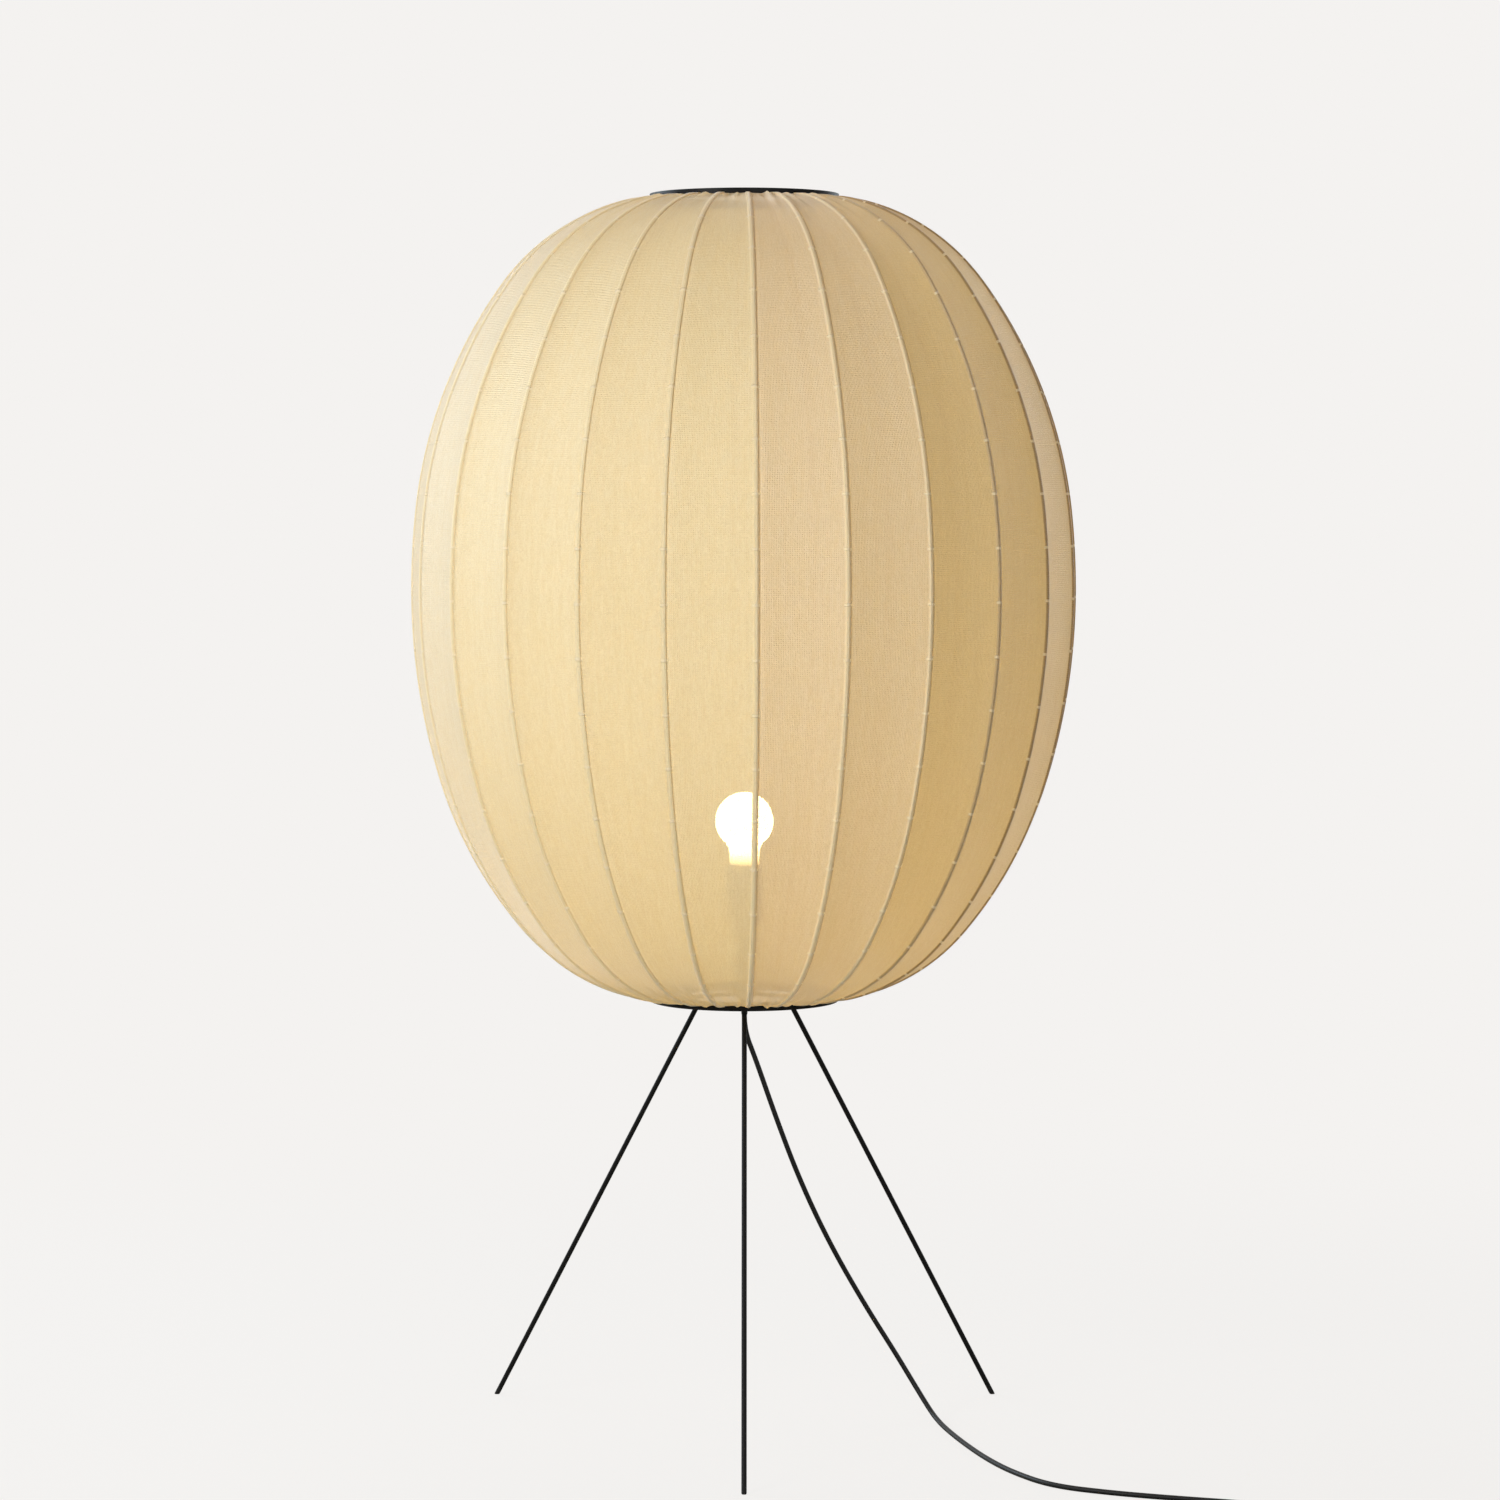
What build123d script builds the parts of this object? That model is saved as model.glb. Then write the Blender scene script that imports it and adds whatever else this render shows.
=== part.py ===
from build123d import *
import math
import os

# Knitted floor lamp. Millimetres and degrees, with the floor at Z = 0 and the lamp's upright axis along Z.
# The front leg points along -Y. Every clearance is a named value.

# Shade, measured over the knitted channels that cover the ribs
shade_diameter = 650.0
shade_top = 1206.6
shade_widest = 823.0
shade_bottom = 424.4
top_slopes = (7.0, 54.0, 84.0)  # slope of the upper outline at its ring and where its three arcs meet
top_middle_share = 1.2  # radius of the middle arc over the height of its half
bottom_slopes = (7.8, 50.0, 73.0)
bottom_middle_share = 1.03
chord_error = 1.8  # the outline's arcs are cut into chords that leave them by no more than this

# Ribs, channels and knit
rib_count = 24
rib_turn = 2.0  # the rib nearest the front leg stands this far round from it
rib_width = 4.0
rib_thickness = 1.8
rib_play = 0.1  # all round a rib in its slot
channel_cover = 0.8  # knit over the outside of a rib
knit_thickness = 0.9
knit_seat = 0.1  # between a rib's inner face and the knit behind it

# Rings
ring_diameter = 184.0
ring_wall = 8.0
ring_height = 8.0
ring_overlap = 2.4  # ring standing clear of the shade's end
rib_seat = 3.4  # depth of a rib's slot
ring_gap = 0.3  # between the ring and the knit's end

# Legs
leg_diameter = 5.0
leg_sides = 12
foot_radius = 292.5
leg_top_radius = 52.5
leg_drop = 10.3  # from the arm in the ring down to the leg's top
arm_rise = 35.0  # slope of the arm from the leg's top out to the ring
leg_bend = 8.0
leg_socket = 4.2
leg_play = 0.05
tip_length = 9.0

# Lampholder and its carrier in the lower ring
carrier_thickness = 2.5
carrier_hub_diameter = 36.0
carrier_arm = 10.0
nipple_diameter = 10.0
nipple_bore = 7.4
thread_play = 0.1
nut_flats = 14.0
nut_height = 3.5
stem_diameter = 16.0
stem_wall = 1.5
stem_length = 66.0
holder_diameter = 35.0
holder_wall = 1.5
holder_length = 60.0
holder_floor = 6.0
insert_height = 12.0
insert_bore = 6.0
lamp_thread_bore = 27.0
lamp_thread_depth = 28.0
contact_width = 6.0
contact_thickness = 0.5
contact_reach = 7.0

# Bulb, drawn like the other small turned pieces with flat sides
round_sides = 32
bulb_diameter = 57.0
bulb_neck = 29.0
bulb_neck_length = 23.0
bulb_centre_rise = 49.0  # from the cap's upper edge to the middle of the globe
bulb_step = 18.0  # turn between the corners of the globe's outline
cap_diameter = 26.4
cap_height = 24.0
cap_tip = 10.0
bulb_contact_height = 3.0
bulb_lift = 1.5  # the cap's end above the holder's contact strip

# Cord
cord_diameter = 5.0
cord_sides = 8
arc_share = 0.45  # of the shorter run, on each side of a bend
relief_inside = 10.0
relief_flange = 2.5
relief_flange_diameter = 12.0
relief_taper = 13.5
relief_wide = 9.2
relief_narrow = 5.8
relief_play = 0.1
relief_sides = 12
cord_lift = 3.7  # axis of the cord over the floor where it enters the switch and the coil

# Switch on the cord
switch_length = 80.0
switch_width = 32.0
switch_height = 20.0
switch_split = 8.0
switch_corner = 9.0
switch_edge = 2.5
switch_wall = 2.0
switch_relief = 20.0
switch_centre = (434.0, -464.0)
button_length = 24.0
button_width = 16.0
button_corner = 3.0
button_play = 0.35
button_proud = 3.0
button_depth = 8.0
button_flange = 1.5
block_width = 18.0
block_length = 30.0
switch_screw_spacing = 60.0
switch_screw_diameter = 5.5

# Coil of the spare cord, with its tie and plug
coil_start = (348.0, -464.0)
coil_radius = 32.5
coil_pitch = 5.6
coil_turns_in_layer = 1.25
tie_width = 10.0
tie_thickness = 0.9
tie_play = 0.3
plug_relief = 18.0
plug_length = 36.0
plug_width = 35.0
plug_thickness = 14.0
plug_nose_width = 26.0
pin_diameter = 4.0
pin_length = 19.0
pin_spacing = 18.6
pin_root = 6.0
pin_root_diameter = 3.2

# Worked out from the sizes above
rib_step = 360.0 / rib_count
ring_radius = ring_diameter / 2
rib_depth = channel_cover
knit_outer_depth = channel_cover + rib_thickness + knit_seat
knit_inner_depth = knit_outer_depth + knit_thickness
flat_share = math.cos(math.radians(rib_step / 2))  # a panel's middle against its corners
steepest_end = math.sin(math.radians(max(top_slopes[0], bottom_slopes[0])))
shade_end_radius = (ring_radius + ring_gap) / flat_share + knit_inner_depth * steepest_end
upper_ring_top = shade_top + ring_overlap
lower_ring_base = shade_bottom - ring_overlap
lower_ring_top = lower_ring_base + ring_height
leg_arm_height = lower_ring_base + ring_height / 2
holder_base = lower_ring_top + stem_length
holder_rim = holder_base + holder_length
insert_base = holder_base + holder_floor
insert_top = insert_base + insert_height
bulb_base = insert_top + contact_reach + bulb_lift
cap_base = bulb_base + bulb_contact_height
globe_base = cap_base + cap_height
nipple_base = lower_ring_top - carrier_thickness - nut_height
cord_radius = cord_diameter / 2
cord_exit = nipple_base - relief_flange - relief_taper

# Cord from the strain relief, down to the floor, along it and round to the switch
switch_entry = switch_centre[0] + switch_length / 2 + switch_relief
switch_exit = switch_centre[0] - switch_length / 2 - switch_relief
cord_route = [
    (0, 0, cord_exit),
    (0, 0, cord_exit - 16),
    (11, 0.5, 364),
    (31, 4.2, 305.5),
    (54.5, 13.5, 242),
    (84, 27, 177),
    (120, 39.5, 112),
    (150, 43.5, 64),
    (170, 40, 31),
    (185.5, 22, 8.1),
    (193, -1, cord_radius),
    (199, -34, cord_radius),
    (212, -92, cord_radius),
    (230, -158, cord_radius),
    (251, -214, cord_radius),
    (284, -270, cord_radius),
    (338, -299, cord_radius),
    (396, -320, cord_radius),
    (452, -337, cord_radius),
    (502, -360, cord_radius),
    (536, -395, cord_radius),
    (545, -428, cord_radius),
    (535, -453, cord_radius),
    (513, switch_centre[1], cord_lift),
    (switch_entry, switch_centre[1], cord_lift),
]

# Short free end from the coil down to the plug
plug_axis_height = plug_thickness / 2
coil_top_height = cord_lift + coil_pitch
coil_end = coil_start[0] - cord_diameter
end_route = [
    (coil_end, coil_start[1], coil_top_height),
    (coil_end - 15, coil_start[1], coil_top_height),
    (coil_end - 33, coil_start[1] - 2, plug_axis_height + 0.6),
    (coil_end - 50, coil_start[1] - 2.4, plug_axis_height),
    (coil_end - 65, coil_start[1] - 2.4, plug_axis_height),
]


def save(shape, name):
    export_step(shape, f"parts/{name}.step")


def half_outline(height, slopes, middle_share):
    # From the ring to the widest place: three tangent arcs, the first and last fitted to the span.
    middle_radius = middle_share * height
    angles = [math.radians(a) for a in (*slopes, 90.0)]
    s = [math.sin(a) for a in angles]
    c = [math.cos(a) for a in angles]
    across = shade_diameter / 2 - shade_end_radius - middle_radius * (s[2] - s[1])
    up = height - middle_radius * (c[1] - c[2])
    det = (s[1] - s[0]) * (c[2] - c[3]) - (s[3] - s[2]) * (c[0] - c[1])
    first = (across * (c[2] - c[3]) - up * (s[3] - s[2])) / det
    last = (up * (s[1] - s[0]) - across * (c[0] - c[1])) / det
    r, drop = shade_end_radius, 0.0
    stations = [(r, drop, angles[0])]
    for radius, start, end in zip((first, middle_radius, last), angles, angles[1:]):
        chords = math.ceil((end - start) / math.sqrt(8 * chord_error / radius))
        for i in range(1, chords + 1):
            angle = start + (end - start) * i / chords
            stations.append((
                r + radius * (math.sin(angle) - math.sin(start)),
                drop + radius * (math.cos(start) - math.cos(angle)),
                angle,
            ))
        r, drop = stations[-1][:2]
    return stations


def outline(depth, tail=0.0):
    # Points (radius, Z) from the upper ring to the lower one, this deep under the channels' outside.
    # A tail carries both ends straight on towards the rings.
    upper = half_outline(shade_top - shade_widest, top_slopes, top_middle_share)
    lower = half_outline(shade_widest - shade_bottom, bottom_slopes, bottom_middle_share)
    above = [(r - depth * math.sin(a), shade_top - d - depth * math.cos(a)) for r, d, a in upper]
    below = [(r - depth * math.sin(a), shade_bottom + d + depth * math.cos(a)) for r, d, a in lower]
    if tail:
        a, b = upper[0][2], lower[0][2]
        above.insert(0, (above[0][0] - tail * math.cos(a), above[0][1] + tail * math.sin(a)))
        below.insert(0, (below[0][0] - tail * math.cos(b), below[0][1] - tail * math.sin(b)))
    return above + below[-2::-1]


def faceted(points, sides, turn=0.0):
    # Turned about the Z axis in flat panels, from a closed line of (radius, Z) points.
    def corner(point, k):
        angle = math.radians(turn + k * 360 / sides)
        return (point[0] * math.cos(angle), point[0] * math.sin(angle), point[1])

    faces = []
    for a, b in zip(points, points[1:] + points[:1]):
        if a[0] == 0 and b[0] == 0:
            continue
        for k in range(sides):
            panel = [corner(a, k), corner(b, k), corner(b, k + 1), corner(a, k + 1)]
            if a[0] == 0:
                panel.pop()
            elif b[0] == 0:
                panel.pop(1)
            faces.append(Face(Wire.make_polygon(panel)))
    return Solid(Shell(faces))


def strip(outer, inner, width):
    # A flat strip in the XZ plane, X being the radius, between two lines of points.
    face = Plane.XZ * make_face(Polyline(*outer, *reversed(inner), close=True))
    return extrude(face, amount=width / 2, both=True)


def around(shape, angle):
    # Turned from the X axis to this angle from the front, counted towards +X.
    return Rot(0, 0, angle - 90) * shape


def make_rib():
    tail = (shade_end_radius - ring_radius + rib_seat - ring_gap) / flat_share
    return strip(outline(rib_depth, tail), outline(rib_depth + rib_thickness, tail), rib_width)


def rib_slots():
    # One cutter with both ends of a rib, larger all round by the play.
    tail = shade_end_radius - ring_radius + rib_seat + ring_gap
    slot = strip(
        outline(rib_depth - rib_play, tail),
        outline(rib_depth + rib_thickness + rib_play, tail),
        rib_width + 2 * rib_play,
    )
    return [around(slot, rib_turn + k * rib_step) for k in range(rib_count)]


def make_knit():
    return faceted(outline(knit_outer_depth) + outline(knit_inner_depth)[::-1], rib_count, rib_turn - 90)


def make_ring(base):
    return Pos(0, 0, base) * extrude(Circle(ring_radius) - Circle(ring_radius - ring_wall), ring_height)


def leg_line():
    # Foot on the floor, the bend under the ring, and the arm that ends in the ring's inner wall.
    top = leg_arm_height - leg_drop
    lean = math.atan2(foot_radius - leg_top_radius, top)
    arm = leg_top_radius + leg_drop / math.tan(math.radians(arm_rise))
    end = ring_radius - ring_wall + leg_socket - ring_gap
    foot = (foot_radius - tip_length * math.sin(lean), tip_length * math.cos(lean))
    return foot, (leg_top_radius, top), (arm, leg_arm_height), (end, leg_arm_height)


def leg_section():
    return RegularPolygon(leg_diameter / 2, leg_sides)


def make_leg():
    path = FilletPolyline(*[(r, 0, z) for r, z in leg_line()], radius=leg_bend)
    return sweep(Plane(path @ 0, z_dir=path % 0) * leg_section(), path=path)


def make_tip():
    # A glide of the rod's own thickness, cut level at the floor.
    foot, top = leg_line()[:2]
    down = Vector(foot[0] - top[0], 0, foot[1] - top[1]).normalized()
    tip = extrude(Plane((foot[0], 0, foot[1]), z_dir=down) * leg_section(), 2 * tip_length)
    return tip - Pos(foot_radius, 0, -2 * tip_length) * Box(*[4 * tip_length] * 3)


def leg_sockets():
    section = RegularPolygon(leg_diameter / 2 + leg_play, leg_sides)
    hole = extrude(Plane((0, 0, leg_arm_height), z_dir=(1, 0, 0)) * section, ring_radius - ring_wall + leg_socket)
    return [around(hole, k * 120) for k in range(3)]


def make_carrier():
    # Three flat arms inside the lower ring, between the legs, with the nipple's hole in the hub.
    reach = ring_radius - ring_wall - leg_play
    base = lower_ring_top - carrier_thickness
    plate = Circle(carrier_hub_diameter / 2)
    for k in range(3):
        plate += Rot(0, 0, 30 + 120 * k - 60) * Pos(reach / 2, 0) * Rectangle(reach, carrier_arm)
    plate = plate & Circle(reach)
    plate -= Circle(nipple_diameter / 2 + thread_play)
    return Pos(0, 0, base) * extrude(plate, carrier_thickness)


def tube(inner, outer, base, top):
    return faceted([(inner, base), (outer, base), (outer, top), (inner, top)], round_sides)


def make_holder_cup():
    radius, hole = holder_diameter / 2, nipple_diameter / 2 + thread_play
    inside = radius - holder_wall
    line = [
        (hole, holder_base), (radius, holder_base), (radius, holder_rim),
        (inside, holder_rim), (inside, insert_base), (hole, insert_base),
    ]
    return faceted(line, round_sides)


def make_insert():
    # Moulded insert: a floor with the leads' hole, and a wall that holds the bulb's thread.
    outside, thread, hole = holder_diameter / 2 - holder_wall - thread_play, lamp_thread_bore / 2, insert_bore / 2
    rim = insert_top + lamp_thread_depth
    line = [
        (hole, insert_base), (outside, insert_base), (outside, rim),
        (thread, rim), (thread, insert_top), (hole, insert_top),
    ]
    return faceted(line, round_sides)


def make_contact():
    # A folded strip: one end flat on the insert, the other raised under the bulb's contact.
    t, top = contact_thickness, insert_top + contact_reach
    line = [(-9, insert_top), (-5, insert_top), (-2, top - t), (3, top - t)]
    upper = [(-9, insert_top + t), (-5.4, insert_top + t), (-2.4, top), (3, top)]
    return strip(line, upper, contact_width)


def make_nut():
    nut = extrude(RegularPolygon(nut_flats / 2, 6, major_radius=False), nut_height)
    nut -= Cylinder(nipple_diameter / 2 + thread_play, 3 * nut_height)
    return Pos(0, 0, nipple_base) * nut


def make_strain_relief():
    # A plug in the nipple, a flange under the nut, and a taper down the cord.
    inside, wide = nipple_bore / 2 - relief_play, relief_wide / 2
    flange = nipple_base - relief_flange
    top = nipple_base + relief_inside
    line = [
        (0, cord_exit), (relief_narrow / 2, cord_exit), (wide, flange), (relief_flange_diameter / 2, flange),
        (relief_flange_diameter / 2, nipple_base), (inside, nipple_base), (inside, top), (0, top),
    ]
    return faceted(line, relief_sides)


def make_bulb_globe():
    # A straight flare joins the neck to the globe, whose outline is a formula.
    radius, neck = bulb_diameter / 2, bulb_neck / 2
    middle = globe_base + bulb_centre_rise
    line = [(0, globe_base), (neck, globe_base), (neck, globe_base + bulb_neck_length)]
    angle = -36.0
    while angle < 90 - bulb_step / 2:
        a = math.radians(angle)
        line.append((radius * math.cos(a), middle + radius * math.sin(a)))
        angle += bulb_step
    line.append((0, middle + radius))
    return faceted(line, round_sides)


def make_bulb_cap():
    radius, tip = cap_diameter / 2, cap_tip / 2
    shoulder = cap_base + 6
    line = [(0, cap_base), (tip, cap_base), (radius, shoulder), (radius, globe_base), (0, globe_base)]
    return faceted(line, round_sides)


def make_bulb_contact():
    radius = cap_tip / 2 - 0.5
    return faceted([(0, bulb_base), (radius, bulb_base), (radius, cap_base), (0, cap_base)], relief_sides)


def bend_radii(points):
    # Each arc takes a share of the shorter of its two runs.
    radii = []
    for a, b, c in zip(points, points[1:], points[2:]):
        before, after = Vector(*b) - Vector(*a), Vector(*c) - Vector(*b)
        half_turn = math.radians(before.get_angle(after)) / 2
        radii.append(arc_share * min(before.length, after.length) / math.tan(half_turn))
    return radii


def cord_outline():
    return RegularPolygon(cord_radius, cord_sides, rotation=180 / cord_sides)


def cord_section(path):
    return Plane(path @ 0, z_dir=path % 0) * cord_outline()


def lay_cord(points):
    radii = bend_radii(points)
    path = FilletPolyline(*points, radius=radii)
    print(f"cord stretch {path.length:.0f} mm, least bend radius {min(radii):.1f} mm")
    print("bend radii " + " ".join(f"{radius:.0f}" for radius in radii))
    return sweep(cord_section(path), path=path)


def coil_station(t):
    # Place and heading after t turns: in at a steady rate, up a layer where it turns back, out again.
    middle = coil_turns_in_layer + 0.25
    s = t - middle
    if abs(s) <= 0.25:
        spread, rate = 2 * s * s, 4 * s
    else:
        spread, rate = abs(s) - 0.125, math.copysign(1, s)
    u = min(max(s + 0.25, 0), 0.5) * 2
    r = coil_radius + coil_pitch * (spread - middle + 0.125)
    rise, climb = coil_pitch * u * u * (3 - 2 * u), coil_pitch * 12 * u * (1 - u)
    angle = -math.pi / 2 - 2 * math.pi * t
    out = Vector(math.cos(angle), math.sin(angle), 0)
    along = Vector(math.sin(angle), -math.cos(angle), 0)
    centre = Vector(coil_start[0], coil_start[1] + coil_radius, cord_lift)
    heading = along * (2 * math.pi * r) + out * (coil_pitch * rate) + Vector(0, 0, climb)
    return centre + out * r + Vector(0, 0, rise), heading.normalized()


def biarc(start, heading, end, end_heading):
    # Two arcs that meet smoothly and keep both headings.
    span, both = end - start, heading + end_heading
    a, b = 2 * (1 - heading.dot(end_heading)), span.dot(both)
    reach = (math.sqrt(b * b + a * span.dot(span)) - b) / a
    middle = (start + end + (heading - end_heading) * reach) * 0.5
    return [
        Edge.make_tangent_arc(start, heading, middle),
        Edge.make_tangent_arc(end, end_heading * -1, middle).reversed(),
    ]


def coil_path():
    layer, whole = coil_turns_in_layer, 2 * coil_turns_in_layer + 0.5
    turns = [0.5 * i for i in range(math.ceil(2 * layer))]
    turns = turns + [layer, layer + 0.25] + [whole - t for t in reversed(turns + [layer])]
    stations = [coil_station(t) for t in turns]
    straight = Vector(-1, 0, 0)
    stations[0] = (stations[0][0], straight)
    stations[-1] = (stations[-1][0], straight)
    edges = [Edge.make_line(stations[0][0] - straight * cord_diameter, stations[0][0])]
    for (a, da), (b, db) in zip(stations, stations[1:]):
        edges += biarc(a, da, b, db)
    edges.append(Edge.make_line(stations[-1][0], stations[-1][0] + straight * cord_diameter))
    return Wire(edges)


def coil_gap(path, samples=400):
    # Least clear distance between turns, on points at least half a turn apart along the cord.
    points = [path @ (i / samples) for i in range(samples + 1)]
    skip = math.ceil(math.pi * coil_radius / (path.length / samples))
    least = min(
        (p - q).length for i, p in enumerate(points) for q in points[i + skip:]
    )
    return least - cord_diameter


def make_coil():
    path = coil_path()
    print(f"coil {path.length:.0f} mm, least gap to itself {coil_gap(path):.2f} mm")
    return sweep(cord_section(path), path=path)


def cut_corners(length, width, corner):
    return chamfer(Rectangle(length, width).vertices(), corner)


def make_tie():
    # A flat band closed round the turns, on the coil's far side from the switch.
    turns_inside = coil_radius - coil_pitch * (coil_turns_in_layer + 0.125)
    width = coil_radius - turns_inside + cord_diameter + 2 * tie_play
    height = coil_pitch + cord_diameter + 2 * tie_play
    middle = (coil_radius + turns_inside) / 2
    outer = cut_corners(width + 2 * tie_thickness, height + 2 * tie_thickness, 1.5)
    band = extrude(outer - cut_corners(width, height, 1.5 - tie_thickness / 2), tie_width / 2, both=True)
    centre = (coil_start[0] - middle, coil_start[1] + coil_radius, cord_lift + coil_pitch / 2)
    return Pos(*centre) * Rot(90, 0, 0) * band


def lead_taper(length, wide, narrow):
    # A tapered strain relief along +X, wide end at the origin.
    return Rot(0, 90, 0) * faceted([(0, 0), (wide / 2, 0), (narrow / 2, length), (0, length)], relief_sides)


def switch_frame(shape):
    return Pos(switch_centre[0], switch_centre[1], 0) * shape


def make_switch_base():
    # A tray with both cord entries and their tapers.
    tray = extrude(cut_corners(switch_length, switch_width, switch_corner), switch_split)
    hollow = cut_corners(
        switch_length - 2 * switch_wall, switch_width - 2 * switch_wall, switch_corner - switch_wall
    )
    tray -= Pos(0, 0, 2 * switch_wall) * extrude(hollow, switch_split)
    taper = lead_taper(switch_relief, 2 * cord_lift, relief_narrow)
    side = Pos(switch_length / 2, 0, cord_lift) * taper
    tray += side + Rot(0, 0, 180) * side
    post = RegularPolygon(switch_screw_diameter / 2 + 1.5, 8)
    posts = Pos(0, 0, switch_wall) * extrude(post, switch_split - switch_wall)
    for x in (-switch_screw_spacing / 2, switch_screw_spacing / 2):
        tray += Pos(x, 0, 0) * posts
        tray -= Pos(x, 0, 0) * Cylinder(switch_screw_diameter / 2, 2 * switch_wall)
    return switch_frame(tray)


def make_switch_screws():
    screw = Cylinder(
        switch_screw_diameter / 2 - button_play, switch_wall - 0.6, align=(Align.CENTER, Align.CENTER, Align.MIN)
    )
    offsets = (-switch_screw_spacing / 2, switch_screw_spacing / 2)
    return switch_frame(Compound([Pos(x, 0, 0.6) * screw for x in offsets]))


def make_switch_cover():
    height = switch_height - switch_split
    shell = extrude(cut_corners(switch_length, switch_width, switch_corner), height)
    shell = chamfer(shell.faces().sort_by(Axis.Z)[-1].edges(), switch_edge)
    hollow = cut_corners(
        switch_length - 2 * switch_wall - switch_edge, switch_width - 2 * switch_wall - switch_edge,
        switch_corner - switch_wall,
    )
    shell -= extrude(hollow, height - switch_wall)
    shell -= extrude(cut_corners(button_length, button_width, button_corner), height)
    return switch_frame(Pos(0, 0, switch_split) * shell)


def make_switch_button():
    # The flange under the cover keeps the button in.
    top = switch_height + button_proud
    size = (button_length - 2 * button_play, button_width - 2 * button_play)
    cap = Pos(0, 0, top - button_depth) * extrude(cut_corners(*size, button_corner - button_play), button_depth)
    cap = chamfer(cap.faces().sort_by(Axis.Z)[-1].edges(), 1.2)
    flange = cut_corners(button_length + 2, button_width + 2, button_corner)
    seat = switch_height - switch_wall - button_play - button_flange
    return switch_frame(cap + Pos(0, 0, seat) * extrude(flange, button_flange))


def make_switch_block():
    # Contact block on the tray's floor, under the button with room for its travel.
    low = 2 * switch_wall
    high = switch_height + button_proud - button_depth - 2.5
    size = Rectangle(block_length, block_width)
    return switch_frame(Pos(0, 0, low) * extrude(size, high - low))


def plug_frame(shape):
    # Plug parts are drawn along +X from the lead and turned to point away from the coil.
    start = end_route[-1]
    return Pos(start[0], start[1], start[2]) * Rot(0, 0, 180) * shape


def make_plug_body():
    body_start = plug_relief
    shoulder = body_start + 0.35 * plug_length
    nose = body_start + plug_length
    half, narrow = plug_width / 2, plug_nose_width / 2
    sides = [(body_start, -6), (shoulder, -half), (nose - 8, -half), (nose, -narrow)]
    face = make_face(Polyline(*sides, *[(x, -y) for x, y in reversed(sides)], close=True))
    body = extrude(face, plug_thickness / 2, both=True)
    body = chamfer(body.edges().filter_by(Axis.Z), 1.5)
    body = chamfer(body.faces().sort_by(Axis.Z)[-1].edges() + body.faces().sort_by(Axis.Z)[0].edges(), 1.0)
    body += Pos(plug_relief, 0, 0) * Rot(0, 0, 180) * lead_taper(plug_relief, relief_wide, relief_narrow)
    for y in (-pin_spacing / 2, pin_spacing / 2):
        body -= Pos(nose, y, 0) * pin_root_bar()
    return plug_frame(body)


def pin_root_bar():
    # The moulded-in end of a pin, behind the plug's face.
    return Rot(0, -90, 0) * extrude(RegularPolygon(pin_root_diameter / 2, 8), pin_root)


def make_plug_pins():
    nose = plug_relief + plug_length
    pin = Cylinder(pin_diameter / 2, pin_length, align=(Align.CENTER, Align.CENTER, Align.MIN))
    pin = Rot(0, 90, 0) * pin + pin_root_bar()
    return plug_frame(Compound([Pos(nose, y, 0) * pin for y in (-pin_spacing / 2, pin_spacing / 2)]))


def build():
    os.makedirs("parts", exist_ok=True)

    rib = make_rib()
    for k in range(rib_count):
        save(around(rib, rib_turn + k * rib_step), f"rib_{k + 1:02d}")
    save(make_knit(), "knitted_cover")
    slots = rib_slots()
    save(make_ring(upper_ring_top - ring_height) - slots, "upper_ring")
    save(make_ring(lower_ring_base) - slots - leg_sockets(), "lower_ring")

    leg, tip = make_leg(), make_tip()
    for name, angle in (("front", 0), ("right", 120), ("left", -120)):
        save(around(leg, angle), f"leg_{name}")
        save(around(tip, angle), f"leg_tip_{name}")

    save(make_carrier(), "holder_carrier")
    save(make_nut(), "nipple_nut")
    save(tube(nipple_bore / 2, nipple_diameter / 2, nipple_base, insert_base), "threaded_nipple")
    stem = tube(stem_diameter / 2 - stem_wall, stem_diameter / 2, lower_ring_top, holder_base)
    save(stem, "stem_tube")
    save(make_holder_cup(), "lampholder_cup")
    save(make_insert(), "lampholder_insert")
    save(make_contact(), "lampholder_contact")
    save(make_strain_relief(), "strain_relief")
    lead = Pos(0, 0, nipple_base + relief_inside) * extrude(
        cord_outline(), insert_base - nipple_base - relief_inside
    )
    save(lead, "inner_lead")

    save(make_bulb_globe(), "bulb_globe")
    save(make_bulb_cap(), "bulb_cap")
    save(make_bulb_contact(), "bulb_contact")

    save(lay_cord(cord_route), "cord")
    tail = [(switch_exit, switch_centre[1], cord_lift), (coil_start[0] + cord_diameter, coil_start[1], cord_lift)]
    tail_path = Polyline(*tail)
    save(sweep(cord_section(tail_path), path=tail_path), "cord_tail")
    save(make_coil(), "cord_coil")
    save(make_tie(), "cord_tie")
    save(lay_cord(end_route), "cord_end")
    save(make_switch_base(), "switch_base")
    save(make_switch_cover(), "switch_cover")
    save(make_switch_block(), "switch_block")
    save(make_switch_button(), "switch_button")
    save(make_switch_screws(), "switch_screws")
    save(make_plug_body(), "plug_body")
    save(make_plug_pins(), "plug_pins")


build()
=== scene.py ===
import math
import random

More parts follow.
